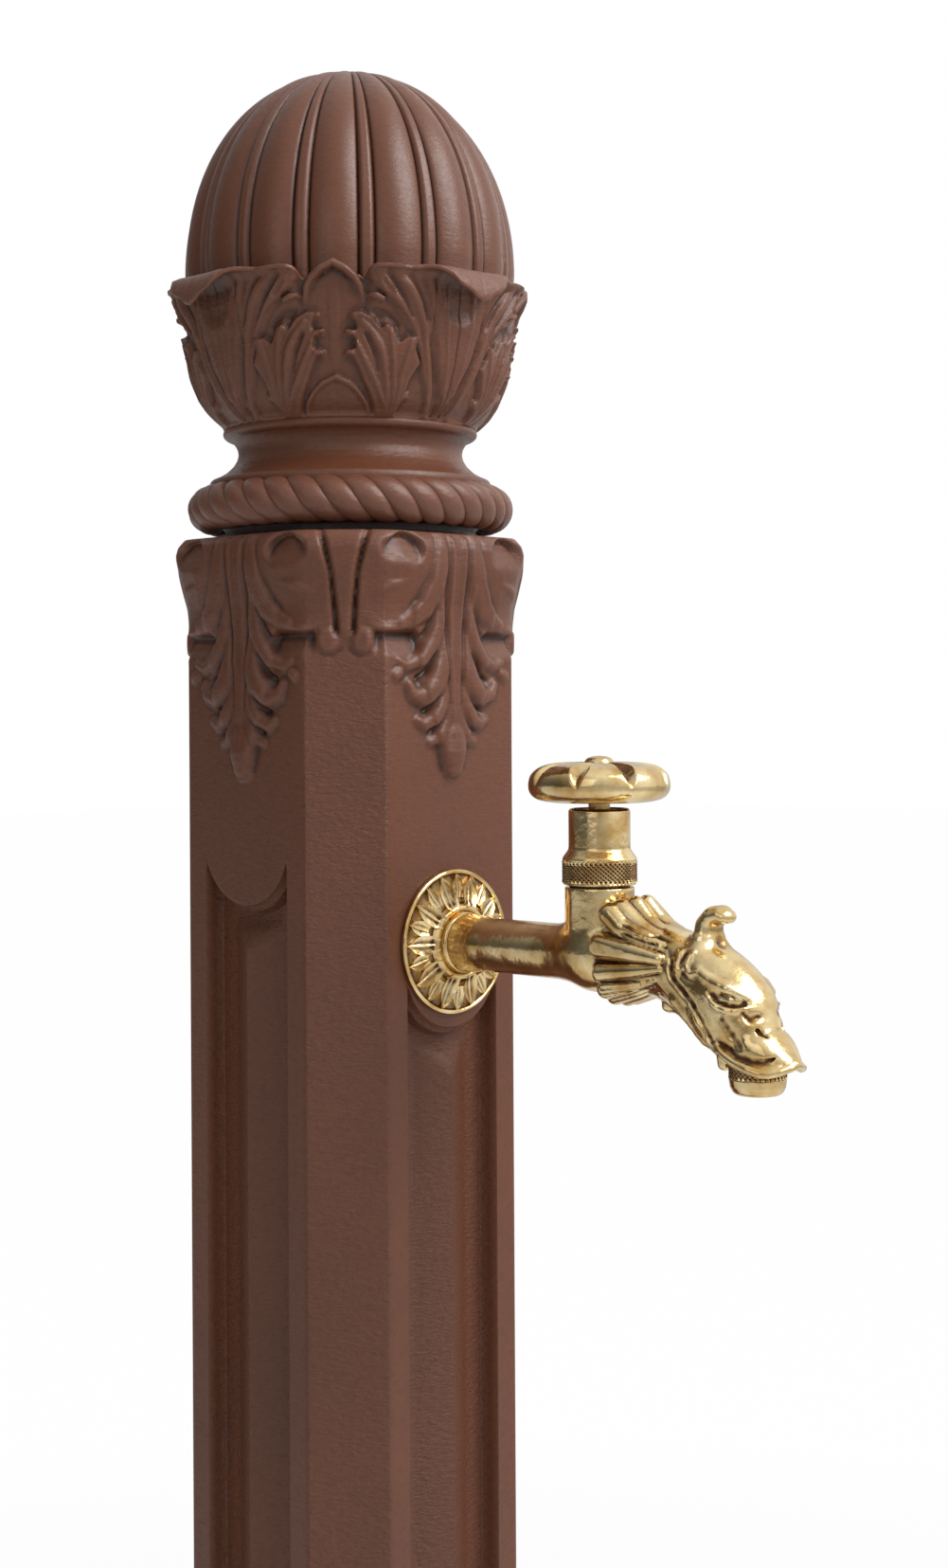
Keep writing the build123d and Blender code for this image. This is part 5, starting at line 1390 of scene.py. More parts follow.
    def build_dome(self, finishes: Finishes) -> None:
        """Grows the ribbed dome from its rule: rounded lobes with a narrow strip sunk between them."""
        rule = RuleTree("ribbed_dome", {
            "Radius": self.dome_radius * MM, "Foot": self.dome_foot * MM,
                                        "Rise": (self.dome_top - self.dome_foot) * MM,
            "Power": 2.0 / self.squareness, "Ribs": self.ribs, "First": math.radians(self.turn + 11.25),
            "Lobe": 2.3 * MM, "Groove": 0.8 * MM, "Strip": 1.1 * MM, "Columns": self.ribs * 32 + 1,
                                        "Rows": 80})
        sheet, along, across = rule.sheet(rule.size("Columns"), rule.size("Rows"))
        turn, rise = along + 0.5, across + 0.5
        climb = (rise * 1.2 - 0.2).least(0.0)
        skirt = (rise * 6.0 - 1.0).most(0.0)
        out, up = (value.least(0.0) ** rule.size("Power") for value in (climb * (math.pi / 2)).wave())
        near = abs((turn * rule.size("Ribs") + 0.5).fraction() - 0.5) * 2.0
        strip = ((0.22 - near) / 0.07).held()
        groove = (1.0 - abs(near - 0.24) / 0.08).held()
        fall = (1.0 - ((near - 0.24) / 0.76).held()) ** 2.0
        low = (1.0 - strip) * (rule.size("Lobe") * fall)
        relief = low + (rule.size("Groove") * groove + rule.size("Strip") * strip)
        wide = rule.size("Radius") * out + skirt * (1.0 * MM)
        reach = (wide - relief * (out * 2.2).most(1.0)).least(0.0) * out.over(0.001)
        cosine, sine = (turn * (2.0 * math.pi) + rule.size("First")).wave()
        lift = rule.size("Foot") + rule.size("Rise") * up + skirt * (14.5 * MM)
        rule.wrap(sheet, reach * cosine, reach * sine, lift, 4e-6)
        mesh = rule.run(bpy.data.meshes.new("dome_start"), finishes.iron)
        with editing(mesh) as shape:
            bmesh.ops.holes_fill(shape, edges=[edge for edge in shape.edges if edge.is_boundary])
        face_out(mesh, 70.0)
        set_marks(mesh, "grain", np.full(len(mesh.vertices), 0.06))
        mark_hollows(mesh, 0.9, 5)
        add_piece("finial_dome", mesh, finishes, Slot.IRON, ["finial"])

    def build(self, finishes: Finishes) -> None:
        """Builds and dresses the whole finial."""
        self.build_neck(finishes)
        self.build_rope(finishes)
        self.build_cup(finishes)
        self.build_dome(finishes)


# Tap body, modelled as clay


class Clay:
    """Half of a casting that is the same on both sides, held as a distance field on a grid.

    Points are (side, reach, level) in millimetres; side is 0 on the middle plane.
    """

    def __init__(self, low: Sequence[float], high: Sequence[float], pitch: float) -> None:
        """Starts an empty block.

        Args:
            low: lowest reach and level.
            high: widest side, furthest reach and highest level.
            pitch: distance between grid points.
        """
        self.pitch = pitch
        self.axes = [np.arange(start, end + pitch, pitch, dtype=np.float32)
                     for start, end in zip((0.0, low[0], low[1]), high)]
        self.field = np.full([len(axis) for axis in self.axes], 9.0, np.float32)

    def window(self, low: Sequence[float], high: Sequence[float]) -> tuple[tuple[slice, ...],
                                                                           list[np.ndarray]]:
        """Part of the grid inside a box, and its coordinates ready to combine.

        Args:
            low: lowest side, reach and level.
            high: highest side, reach and level.

        Returns:
            Slices of the field, and the three axes shaped for broadcasting.
        """
        cut, shaped = [], []
        for number, axis in enumerate(self.axes):
            start = int(np.clip(np.searchsorted(axis, low[number]), 0, len(axis) - 1))
            end = int(np.clip(np.searchsorted(axis, high[number]), start + 1, len(axis)))
            cut.append(slice(start, end))
            shape = [1, 1, 1]
            shape[number] = -1
            shaped.append(axis[start:end].reshape(shape))
        return tuple(cut), shaped

    def distance(self, path: Sequence[Sequence[float]], radius: Sequence[float], margin: float,
                 flat: Sequence[float] = (1.0, 1.0, 1.0)) -> tuple[tuple[slice, ...], np.ndarray]:
        """Distance from a bar along a path whose radius changes along it.

        Args:
            path: points of side, reach and level.
            radius: radius at even steps along the path.
            margin: how far round the bar the distance is worked out.
            flat: stretch of space along each axis; over 1 makes the bar thinner that way.

        Returns:
            Slices of the field, and the distance there.
        """
        marks = np.array(path, float)
        grow = max(radius) + margin
        cut, (x, r, z) = self.window(marks.min(axis=0) - grow, marks.max(axis=0) + grow)
        scale = np.array(flat, float)
        marks = marks * scale
        x, r, z = x * scale[0], r * scale[1], z * scale[2]
        steps = np.linalg.norm(np.diff(marks, axis=0), axis=1)
        along = np.concatenate([[0.0], np.cumsum(steps)]) / max(steps.sum(), 1e-6)
        keys = np.linspace(0.0, 1.0, len(radius))
        best = np.full(np.broadcast(x, r, z).shape, 99.0, np.float32)
        for start, end, begin, finish in zip(marks, marks[1:], along, along[1:]):
            way = end - start
            share = np.clip(((x - start[0]) * way[0] + (r - start[1]) * way[1] + (z - start[2]) * way[2])
                            / max(way @ way, 1e-9), 0.0, 1.0)
            gap = np.sqrt((x - start[0] - share * way[0]) ** 2 + (r - start[1] - share * way[1]) ** 2
                          + (z - start[2] - share * way[2]) ** 2)
            best = np.minimum(best, gap - np.interp(begin + share * (finish - begin), keys, radius))
        return cut, best.astype(np.float32)

    def add(self, path: Sequence[Sequence[float]], radius: Sequence[float], blend: float = 1.0,
            flat: Sequence[float] = (1.0, 1.0, 1.0)) -> None:
        """Lays a bar of clay and smooths it in."""
        cut, gap = self.distance(path, radius, 3.0 * blend + 1.0, flat)
        self.field[cut] = soft_min(self.field[cut], gap, blend)

    def carve(self, path: Sequence[Sequence[float]], radius: Sequence[float], blend: float = 0.6,
              flat: Sequence[float] = (1.0, 1.0, 1.0)) -> None:
        """Cuts a groove along a path."""
        cut, gap = self.distance(path, radius, 3.0 * blend + 1.0, flat)
        self.field[cut] = soft_max(self.field[cut], -gap, blend)

    def cut_away(self, cut: tuple[slice, ...], tool: np.ndarray) -> None:
        """Takes away what lies inside a tool, with a sharp edge."""
        self.field[cut] = np.maximum(self.field[cut], tool)

    def skin(self, reach: float, level: float) -> float:
        """Distance of the clay's side from the middle plane at one reach and level."""
        row, height = (int(round((value - self.axes[axis][0]) / self.pitch)) for axis,
                       value in ((1, reach), (2, level)))
        inside = np.flatnonzero(self.field[:, row, height] < 0)
        return float(self.axes[0][inside[-1]]) if len(inside) else 0.0

    def lay(self, path: Pairs, lift: float, radius: Sequence[float], blend: float,
            dig: bool = False) -> None:
        """Lays a bar along the clay's side, or digs one out of it.

        Args:
            path: (reach, level) points.
            lift: distance of the bar's middle outside the side.
            radius: radius at even steps along the path.
            blend: width of the fillet.
            dig: whether the bar is dug out.
        """
        fine = self.curve(np.array(path, float), np.linspace(0.0, len(path) - 1.0, 4 * (len(path) - 1) + 1))
        places = [(self.skin(reach, level) + lift, reach, level) for reach, level in fine]
        (self.carve if dig else self.add)(places, radius, blend)

    def ball(self, centre: Sequence[float], sizes: Sequence[float], blend: float = 1.0,
             dig: bool = False) -> None:
        """Adds or digs an egg-shaped lump.

        Args:
            centre: its middle.
            sizes: half sizes along side, reach and level.
            blend: width of the fillet.
            dig: whether it is dug out instead.
        """
        middle, half = np.array(centre, float), np.array(sizes, float)
        cut, (x, r, z) = self.window(middle - half - 3 * blend - 1, middle + half + 3 * blend + 1)
        share = np.sqrt(((x - middle[0]) / half[0]) ** 2 + ((r - middle[1]) / half[1]) ** 2
                        + ((z - middle[2]) / half[2]) ** 2)
        gap = ((share - 1.0) * half.min()).astype(np.float32)
        self.field[cut] = soft_max(self.field[cut], -gap, blend) if dig else soft_min(self.field[cut], gap,
                                                                                      blend)

    def sweep(self, stations: Sequence[Sequence[float]], power: float, blend: float) -> None:
        """Adds a body that runs through oval stations on the middle plane.

        Args:
            stations: (reach, level, rise above, depth below, half width) of each station.
            power: roundness of the section; 2 is an ellipse, more is boxier.
            blend: width of the fillet with what is there.
        """
        table = np.array(stations, float)
        keys = np.linspace(0.0, len(table) - 1.0, 40 * (len(table) - 1) + 1)
        places = self.curve(table, keys)
        cut, (x, r, z) = self.window((0.0, table[:, 0].min() - 22, table[:, 1].min() - 22),
                                     (99.0, table[:, 0].max() + 22, table[:, 1].max() + 22))
        flat_r, flat_z = np.broadcast_arrays(r[0], z[0])
        gaps = (flat_r[..., None] - places[:, 0]) ** 2 + (flat_z[..., None] - places[:, 1]) ** 2
        near = gaps.argmin(axis=-1)
        tangent = np.gradient(places[:, :2], axis=0)
        tangent /= np.linalg.norm(tangent, axis=1)[:, None]
        off_r, off_z = flat_r - places[near, 0], flat_z - places[near, 1]
        along = off_r * tangent[near, 0] + off_z * tangent[near, 1]
        rise = -off_r * tangent[near, 1] + off_z * tangent[near, 0]
        tall = np.where(rise > 0, places[near, 2], places[near, 3])
        wide = places[near, 4]
        past = np.abs(along)
        ratio = (np.abs(x / wide[None]) ** power + np.abs(rise / tall)[None] ** power
                 + (past / np.minimum(wide, tall))[None] ** power) ** (1.0 / power)
        gap = ((ratio - 1.0) * 0.5 * (np.minimum(wide,
                                                 tall) + 0.5 * (wide + tall))[None]).astype(np.float32)
        self.field[cut] = soft_min(self.field[cut], gap, blend)

    @staticmethod
    def curve(table: np.ndarray, keys: np.ndarray) -> np.ndarray:
        """Smooth run through the rows of a table.

        Args:
            table: rows to pass through.
            keys: row numbers, with fractions, to work out.

        Returns:
            A row for each key.
        """
        padded = np.vstack([2 * table[0] - table[1], table, 2 * table[-1] - table[-2]])
        number = np.minimum(keys.astype(int), len(table) - 2)
        t = (keys - number)[:, None]
        a, b, c, d = (padded[number + step] for step in range(4))
        bend, twist = 2 * a - 5 * b + 4 * c - d, 3 * b - a - 3 * c + d
        return 0.5 * (2 * b + (c - a) * t + bend * t ** 2 + twist * t ** 3)

    def fire(self, name: str) -> bpy.types.Mesh:
        """Turns the clay into a closed and lightly smoothed mesh, both halves together.

        Args:
            name: name of the mesh.

        Returns:
            The mesh, in place.
        """
        whole = np.concatenate([self.field[:0:-1], self.field]).astype(np.float32)
        whole[[0, -1]], whole[:, [0, -1]], whole[:, :, [0, -1]] = 9.0, 9.0, 9.0
        grid = openvdb.FloatGrid(9.0)
        grid.copyFromArray(whole)
        points, quads = grid.convertToQuads(0.0)
        points = np.array(points, float) * self.pitch
        half = len(self.field) - 1
        side = points[:, 0] - half * self.pitch
        place = np.column_stack([side, -(points[:, 1] + self.axes[1][0]), points[:, 2] + self.axes[2][0]])
        mesh = make_mesh(name, place, [tuple(quad) for quad in quads.tolist()], None, 180.0, 0.0005)
        with editing(mesh) as shape:
            bmesh.ops.smooth_vert(shape, verts=shape.verts, factor=0.5, use_axis_x=True, use_axis_y=True,
                                  use_axis_z=True)
        return mesh


@dataclass
class TapBody:
    """Brass casting: tube, barrel, ruff, neck, crest, head and bill."""

    axis: float = 714.0
    valve: float = 131.0
    nozzle: float = 201.5
    tube_radius: float = 10.1
    barrel_radius: float = 12.55
    barrel_top: float = 738.6
    tail: float = 22.0
    tail_radius: float = 10.25
    rosette_face: float = 64.0
    seat: float = 720.0
    chamber_radius: float = 9.8
    seat_bore: float = 5.4
    nozzle_shoulder: float = 683.6
    nozzle_seat_radius: float = 10.4
    nozzle_top: float = 690.0
    nozzle_bore: float = 8.35
    wall: float = 1.6
    pitch: float = 0.52

    def build_tube(self, clay: Clay) -> None:
        """Tube, barrel and the fillets between them."""
        clay.add(((0, 60, self.axis), (0, self.valve, self.axis)), (self.tube_radius,), 1)
        clay.add(((0, 62, self.axis), (0, 72.5, self.axis)), (11.5, 10), 2)
        clay.add(((0, self.valve, 716), (0, self.valve, 745)), (self.barrel_radius,), 4)
        clay.ball((0, self.valve, self.axis), (12.6, 13.3, 12.8), 4)
        clay.ball((0, 122, 715), (10.8, 12, 10.4), 4)

    def build_neck_and_head(self, clay: Clay) -> None:
        """Neck, head, blunt snout and the thin bill under it."""
        clay.sweep(((131, 714, 12, 12, 12), (146, 715.2, 13, 13.5, 12.2), (158, 714.6, 13, 13.5, 12),
                    (170.1, 711.8, 13.3, 13.4, 12.4), (181.5, 706.2, 15.7, 13.9, 13.6),
                    (192.2, 698.4, 15.6, 15, 13.4),
                    (199.2, 692.4, 12, 11, 11.8), (203.2, 689.2, 8.2, 7.4, 10),
                    (205, 687.6, 5.4, 5.2, 8.6)),
                   2.15, 2)
        clay.sweep(((192, 687.6, 4, 3.2, 12.4), (199, 685, 3.4, 2.6, 12.6), (206, 682.9, 2.4, 1.6, 12),
                    (211, 682.4, 1.7, 1.2, 10.2), (214.6, 682.9, 1.3, 1.1, 7.4), (216.8, 683.4, 1, 1, 3.4)),
                   2.4, 1.2)
        clay.sweep(((203, 688, 8.2, 7, 11.6), (207, 686.2, 7.9, 5, 10.6), (210, 685, 6.7, 3, 9.6),
                    (213, 684.2, 5, 2, 7.8), (215.4, 683.8, 3.2, 1.4, 5.6), (217.2, 683.6, 1.5, 1, 3)), 2.2,
                   1)

    def build_lips(self, clay: Clay) -> None:
        """Raised rim round the bill and the groove inside it."""
        clay.add(((12.2, 189, 690.6), (12.6, 195, 686.9), (12.6, 201, 683.8), (12.3, 206, 682),
                  (11.2, 209.8, 680.8), (9.2, 212.8, 680.6), (6.4, 215.6, 681.4), (3.2, 217.4, 682.4),
                  (0, 217.9, 683)),
                 (1, 1.5, 1.7, 1.7, 1.6, 1.5, 1.4, 1.3, 1.2), 0.9)
        clay.carve(((12.9, 197, 688.6), (12.6, 202.4, 686.2), (11.6, 207.4, 684.8), (9.2, 211.2, 684.8),
                    (5.2, 214, 685.9), (0, 215.4, 686.4)), (0.9, 1.2, 1.1, 0.7, 0.5, 0.4), 0.8)

    def build_face(self, clay: Clay) -> None:
        """Brow, eye, cheek, nostril and ear."""
        clay.lay(((185, 713.4), (190.6, 710.2), (196.4, 708), (201.6, 705.6)), -0.6, (1.2, 2, 2.2, 1.2),
                 1.4)
        clay.lay(((191.4, 706), (195.4, 704.6), (199.6, 703.8), (203, 703.6)), 0.9, (1.3, 2.2, 2.3, 1.4), 1,
                 True)
        clay.lay(((194.4, 704.6), (198.4, 704), (200.6, 704)), -0.5, (1.2, 1.9, 1.2), 0.5)
        clay.lay(((189.8, 705.6), (193, 702.6), (197.4, 701), (201.2, 700.8), (203.8, 702)), 0.1,
                 (0.6, 1.1, 1.3, 1.1, 0.6), 0.7)
        clay.lay(((203.2, 700.2), (205.2, 698.2), (206.4, 699)), 0.6, (0.9, 1.6, 0.9), 0.6, True)
        clay.carve(((0, 209.6, 699.4), (4, 208.6, 699.2), (8, 206, 699.4)), (1.2, 1.2, 0.9), 1.6)
        clay.carve(((6.8, 204.8, 694.9), (6.3, 207.2, 693.8), (5.4, 209.4, 692.2)), (0.5, 1.1, 0.5), 0.5)
        clay.lay(((184.4, 700), (188, 695), (192, 690.6)), -1.6, (2.4, 3.4, 2.4), 2)
        clay.lay(((196.4, 697.6), (199.6, 692.6), (203, 688.4)), 0.8, (1, 1.6, 1), 1.6, True)
        clay.lay(((176.4, 717.4), (177.6, 713.8)), -1.2, (2.2, 2.8), 1.2)
        clay.lay(((182, 719), (180.4, 715.6), (182.2, 712.2), (185, 712.8)), -0.1, (0.9, 1.4, 1.3, 0.9),
                 0.8)
        clay.lay(((179, 720), (178.4, 715.4), (180.4, 711.2), (184.4, 709.8)), 0.7, (0.7, 1.1, 1, 0.7), 0.6,
                 True)

    def build_throat(self, clay: Clay) -> None:
        """Jaw line, throat strip and the small beads below."""
        clay.lay(((171.6, 719), (173.4, 716), (173.8, 711), (179, 706.3), (184.3, 701.5), (188.5, 696.9),
                  (192.3, 690), (195, 686.2)), 0.7, (0.8, 1.2, 1.5, 1.5, 1.5, 1.4, 1.3, 0.9), 0.5, True)
        clay.lay(((168.6, 708), (174.8, 702.4), (180.4, 696.6), (185.2, 690.6), (188.6, 686.4)), -1,
                 (1.6, 2.2, 2.2, 2, 1.4), 1)
        clay.lay(((166.8, 702.6), (172, 698), (177.4, 692.4), (181.6, 687.6)), 0.6, (1.4, 1.9, 1.8, 1.2),
                 0.8, True)
        clay.ball((0, 163.8, 698.4), (3.6, 3, 2.4), 1)
        clay.add(((0, 163.6, 700.4), (0, 170, 697.4), (0, 176, 692.4)), (2.6, 2.8, 2.6), 1.4)
        clay.ball((0, 187.4, 680.6), (2.6, 2.5, 2.4), 0.7)
        clay.add(((0, 187, 683.4), (0, 191, 685.5)), (2.6, 4), 1.2)

    def build_crest(self, clay: Clay) -> None:
        """Curled tongue that rises from the crown and bends forward, hollow in front."""
        clay.add(((0, 181, 716), (0, 180.6, 723), (0, 181, 728), (0, 183.4, 730.9), (0, 186.4, 731.8),
                  (0, 188.4, 731)), (7.2, 6, 4.3, 3.9, 3.6, 2.9), 1.6, (0.66, 1, 1))
        clay.carve(((0, 189.4, 726), (0, 187.6, 722.8)), (2.9, 2.6), 1, (0.66, 1, 1))

    def build_ruff(self, clay: Clay) -> None:
        """Fan of flutes that opens back from the neck against the barrel."""
        flutes = (
            (((3, 167, 723.2), (3.2, 157, 727.2), (3, 150.6, 733.2)), (1.6, 3, 3.4)),
            (((6.4, 168, 721.6), (7, 157, 725.2), (7.2, 147.6, 731.8)), (1.8, 3.2, 3.8)),
            (((9.4, 168, 719.6), (10.2, 157, 722.8), (10.2, 150.4, 725.6), (10, 145, 730)),
             (2, 3.6, 4, 4.6)),
            (((12.4, 168.6, 716.2), (12.9, 157, 717.8), (12.4, 142.8, 718.9)), (2.2, 3.9, 4.9)),
            (((12.4, 168.8, 712.8), (12.8, 157, 711.2), (12.2, 142.4, 709.4)), (1.4, 2.8, 3.6)),
            (((10.8, 168.2, 710), (10.9, 157, 707), (9.8, 142.8, 703.8)), (1.4, 3, 3.8)),
            (((7.6, 167.2, 708), (7.4, 157, 704.6), (6.4, 144, 701.2)), (1.3, 2.9, 3.5)),
            (((2.6, 166, 706.4), (2.6, 158, 703.8), (2.4, 146, 700.4)), (1.3, 2.7, 3.3)),
        )
        for path, radius in flutes:
            clay.add(path, radius, 0.45)
        for rise in (0, 1, 2):
            clay.lay(((166, 709.0 - rise * 0.9), (156, 707.4 - rise * 1.7), (143, 706.4 - rise * 2.5)),
                     0.15,
                     (0.3, 0.55, 0.6), 0.25, True)
        for rise in (0, 1):
            clay.lay(((170, 722.0 - rise * 2), (161, 724.6 - rise * 2.4), (153, 727.0 - rise * 2.6)), 0.2,
                     (0.5, 0.8, 0.6), 0.5, True)

    def bore(self, clay: Clay) -> None:
        """Clears the valve's chamber, its seat and the nozzle's room, and trims both ends."""
        cut, (x, r, z) = clay.window((0, 100, 700), (99, 165, 760))
        off = np.sqrt(x ** 2 + (r - self.valve) ** 2)
        clay.cut_away(cut, np.where(off < 16, z - self.barrel_top, -9))
        clay.cut_away(cut, np.minimum(self.chamber_radius - off, z - self.seat))
        clay.cut_away(cut, np.minimum(self.seat_bore - off, z - self.axis))
        cut, (x, r, z) = clay.window((0, 180, 660), (99, 225, 700))
        off = np.sqrt(x ** 2 + (r - self.nozzle) ** 2)
        clay.cut_away(cut, np.minimum(self.nozzle_seat_radius - off, self.nozzle_shoulder - z))
        clay.cut_away(cut, np.minimum(self.nozzle_bore - off, self.nozzle_top - z))
        cut, (x, r, z) = clay.window((0, 50, 690), (99, 70, 730))
        clay.cut_away(cut, self.rosette_face - r)

    def model(self) -> Clay:
        """Models the casting, feature by feature."""
        clay = Clay((60, 673), (17, 226, 742), self.pitch)
        self.build_tube(clay)
        self.build_neck_and_head(clay)
        self.build_ruff(clay)
        self.build_crest(clay)
        self.build_lips(clay)
        self.build_face(clay)
        self.build_throat(clay)
        self.bore(clay)
        return clay

    def build(self, finishes: Finishes) -> None:
        """Makes the casting and its tail, and dresses them."""
        mesh = self.model().fire("tap_casting")
        mark_hollows(mesh, 0.5, 10)
        add_piece("tap_casting", mesh, finishes, Slot.AGED, ["tap_body"])
        inner = self.tube_radius - self.wall
        points, faces = turned_grid([(inner, self.tail), (self.tail_radius, self.tail),
                                     (self.tail_radius, self.rosette_face), (inner, self.rosette_face)], 64,
                                    True)
        place = np.column_stack([points[:, 0], -points[:, 2], points[:, 1] + self.axis])
        tail = make_mesh("tail", place, faces)
        add_piece("tap_tail", tail, finishes, Slot.TURNED, ["tap_body"])


# Tap trim


@dataclass
class TapTrim:
    """Rosette, knurled cap, nozzle ring, handwheel and its screw."""

    axis: float = 714.0
    valve: float = 131.0
    nozzle: float = 201.5
    face: float = 56.0
    wheel_grooves: int = 8

    def along_tap(self, points: np.ndarray) -> np.ndarray:
        """Turns points made about +Z so that +Z becomes the tap's outward axis."""
        return np.column_stack([points[:, 0], -points[:, 2], points[:, 1] + self.axis])

    def build_rosette(self, finishes: Finishes) -> None:
        """Dished disc with a thin rim, a ring of pointed petals and a rounded hub."""
        face = self.face
        outline = rounded([
            (10.4, face), (27, face), (27.7, face + 0.6), (27.8, face + 1.9), (27, face + 2.6),
                           (26.2, face + 2.2),
            (25.8, face + 1.6), (20, face + 2.4), (15, face + 3.6), (14.4, face + 5), (13.9, face + 6),
            (13, face + 6.4), (12.2, face + 6), (12, face + 5.4), (11.6, face + 7.2), (10.9, face + 8),
            (10.4, face + 8)], 0.4, 3)
        points, faces = turned_grid(outline, 128, True)
        mesh = make_mesh("rosette_disc", self.along_tap(points), faces)
        mark_hollows(mesh, 0.5, 6)
        add_piece("rosette_disc", mesh, finishes, Slot.AGED, ["rosette"])
        self.petals("long_petals", 10, 0, 13, 26, 3.5, 2, finishes)
        self.petals("short_petals", 10, 18, 17, 26, 2.6, 1.4, finishes)

    def petals(self, name: str, count: int, first: float, root: float, tip: float, half: float,
               proud: float,
               finishes: Finishes) -> None:
        """Ring of pointed petals, each a hollow leaf with a raised edge.

        Args:
            name: name of the piece.
            count: petals in the ring.
            first: angle of the first petal in degrees.
            root: radius of a petal's root.
            tip: radius of its point.
            half: half of its width.
            proud: height of its edge over the disc.
            finishes: the object's finishes.
        """
        along = np.linspace(0, 1, 15)
        across = np.linspace(-1, 1, 13)
        radius = root + (tip - root) * along
        width = half * np.sin(np.clip(along * 0.86 + 0.14, 0, 1) * math.pi) ** 0.75 + 0.25
        ground = np.interp(radius, [13, 15, 20, 26], [5.2, 3.6, 2.4, 1.7]) - 0.4
        dish = np.abs(across) ** 1.6
        rows = []
        for r, w, g, t in zip(radius, width, ground, along):
            edge = proud * (0.9 - 0.25 * t)
            vein = 0.6 * np.exp(-(across / 0.14) ** 2)
            crown = self.face + g + edge * (0.35 + 0.65 * dish) + vein + 0.3
            top = np.stack([np.full_like(across, r), across * w, crown], axis=-1)
            bottom = np.stack([np.full_like(across, r), across[::-1] * w * 1.06,
                               np.full_like(across, self.face + g - 0.9)], axis=-1)
            rows.append(np.concatenate([top, bottom]))
        rows = [np.repeat(rows[0].mean(axis=0)[None, :], len(rows[0]), axis=0)] + rows \
            + [np.repeat(rows[-1].mean(axis=0)[None, :], len(rows[0]), axis=0)]
        petal = make_mesh(name, np.concatenate(rows), grid_faces(len(rows), len(rows[0])), None, 40)
        mesh = round_array(name, petal, count, first, (0, 0, self.axis), 90, finishes.aged)
        mark_hollows(mesh, 0.4, 3)
        add_piece(name, mesh, finishes, Slot.AGED, ["rosette"])

    def turned_piece(self, name: str, outline: Pairs, reach: float, body: Body, node: str,
                     finishes: Finishes,
                     loop: bool = True) -> None:
        """Turned brass piece on an upright axis.

        Args:
            name: name of the piece.
            outline: (radius, level) points.
            reach: reach of its axis.
            body: body that it rides on.
            node: node that it stands for.
            finishes: the object's finishes.
            loop: whether the outline closes on itself.
        """
        points, faces = turned_grid(outline, 96, loop)
        points = points - np.array([0, reach, 0])
        mesh = make_mesh(name, points, faces, None, 40)
        mark_hollows(mesh, 0.5, 4)
        add_piece(name, mesh, finishes, Slot.AGED, [node], body)

    def build_cap(self, finishes: Finishes) -> None:
        """Knurled ring, shoulder and sleeve of the cover."""
        sleeve = rounded([(11.7, 739.4), (12.9, 739.4), (13.3, 739.9), (13, 740.4), (12.7, 740.8),
                          (12.7, 747.2),
                          (13.2, 747.9), (13.5, 748.5), (13.2, 749.4), (11.4, 751.9), (11.15, 752.8),
                          (11.15, 766),
                          (10.5, 766.9), (9.6, 766.9), (9.4, 766.4), (4.3, 766.2), (4.3, 765.3),
                          (9.5, 765.3), (9.5, 742.8),
                          (11.7, 742.8)], 0.35, 3)
        self.turned_piece("cap_sleeve", sleeve, self.valve, Body.POST, "knurled_cap", finishes)
        band = diamond_band("cap_knurl", 13.7, 12.2, 740.3, 748, 0.85, 46, 5, self.valve, finishes.aged)
        mark_hollows(band, 0.22, 3)
        add_piece("cap_knurl", band, finishes, Slot.AGED, ["knurled_cap"])

    def build_nozzle(self, finishes: Finishes) -> None:
        """Knurled ring with a rounded bevel and the threaded neck above it."""
        outline = rounded([(6.8, 671.8), (7.4, 671.8), (8.6, 672.6), (9.5, 674.4), (9.8, 676.4),
                           (9.9, 677.2), (9.4, 677.6),
                           (9.4, 682.6), (9.9, 683.2), (9.7, 683.6), (8.3, 683.6), (8.3, 689.6),
                           (6.8, 689.6)], 0.4, 3)
        self.turned_piece("nozzle_body", outline, self.nozzle, Body.POST, "nozzle_ring", finishes)
        band = diamond_band("nozzle_knurl", 10.05, 8.8, 677.4, 683.3, 0.75, 34, 4, self.nozzle,
                            finishes.aged)
        mark_hollows(band, 0.22, 3)
        add_piece("nozzle_knurl", band, finishes, Slot.AGED, ["nozzle_ring"])

    def build_wheel(self, finishes: Finishes) -> None:
        """Thick rounded wheel with eight teardrop grooves across its top."""
        columns = 320
        side = np.array([
            (5.6, 783.2), (7, 783.5), (10, 783.5), (14, 783.4), (18, 782.9), (21, 782), (23.2, 780.6),
            (24.8, 778.8), (25.5, 776.6), (25.6, 774.6), (25.2, 772.8), (24, 771.2), (22.2, 770.1),
                         (19.6, 769.4),
            (17.2, 769.1), (16.4, 769.6), (16, 771.4), (14.8, 772.1), (9, 772.1), (8, 771.2), (7.6, 769.1),
            (2.8, 769.1), (2.8, 782.7), (5.5, 782.7)])
        crown, fine = 14, 66
        upper = Clay.curve(side[:crown], np.linspace(0, crown - 1, fine))
        profile = np.concatenate([upper, side[crown:]])
        angle = np.linspace(0, 2 * math.pi, columns, endpoint=False)
        share = (angle * self.wheel_grooves / (2 * math.pi)) % 1.0 - 0.5
        radius = np.repeat(profile[:, 0:1], columns, axis=1)
        level = np.repeat(profile[:, 1:2], columns, axis=1)
        arc = np.abs(share)[None, :] * 2 * math.pi / self.wheel_grooves * radius
        place = np.interp(np.arange(len(profile)), [0, fine - 1], [0, crown - 1])
        grow = np.interp(place, [0.6, 1.6, 3, 4.2, 5.5, 7, 8.2, 9],
                         [0.5, 1.3, 2.3, 3, 3.2, 2.5, 1.2, 0.2])[:, None]
        depth = np.interp(place, [0.4, 1.2, 3, 4.5, 5.5, 7, 8.2, 9], [0, 1.3, 2.4, 3, 3, 2.3, 0.9, 0])[:,
                                                                                                       None]
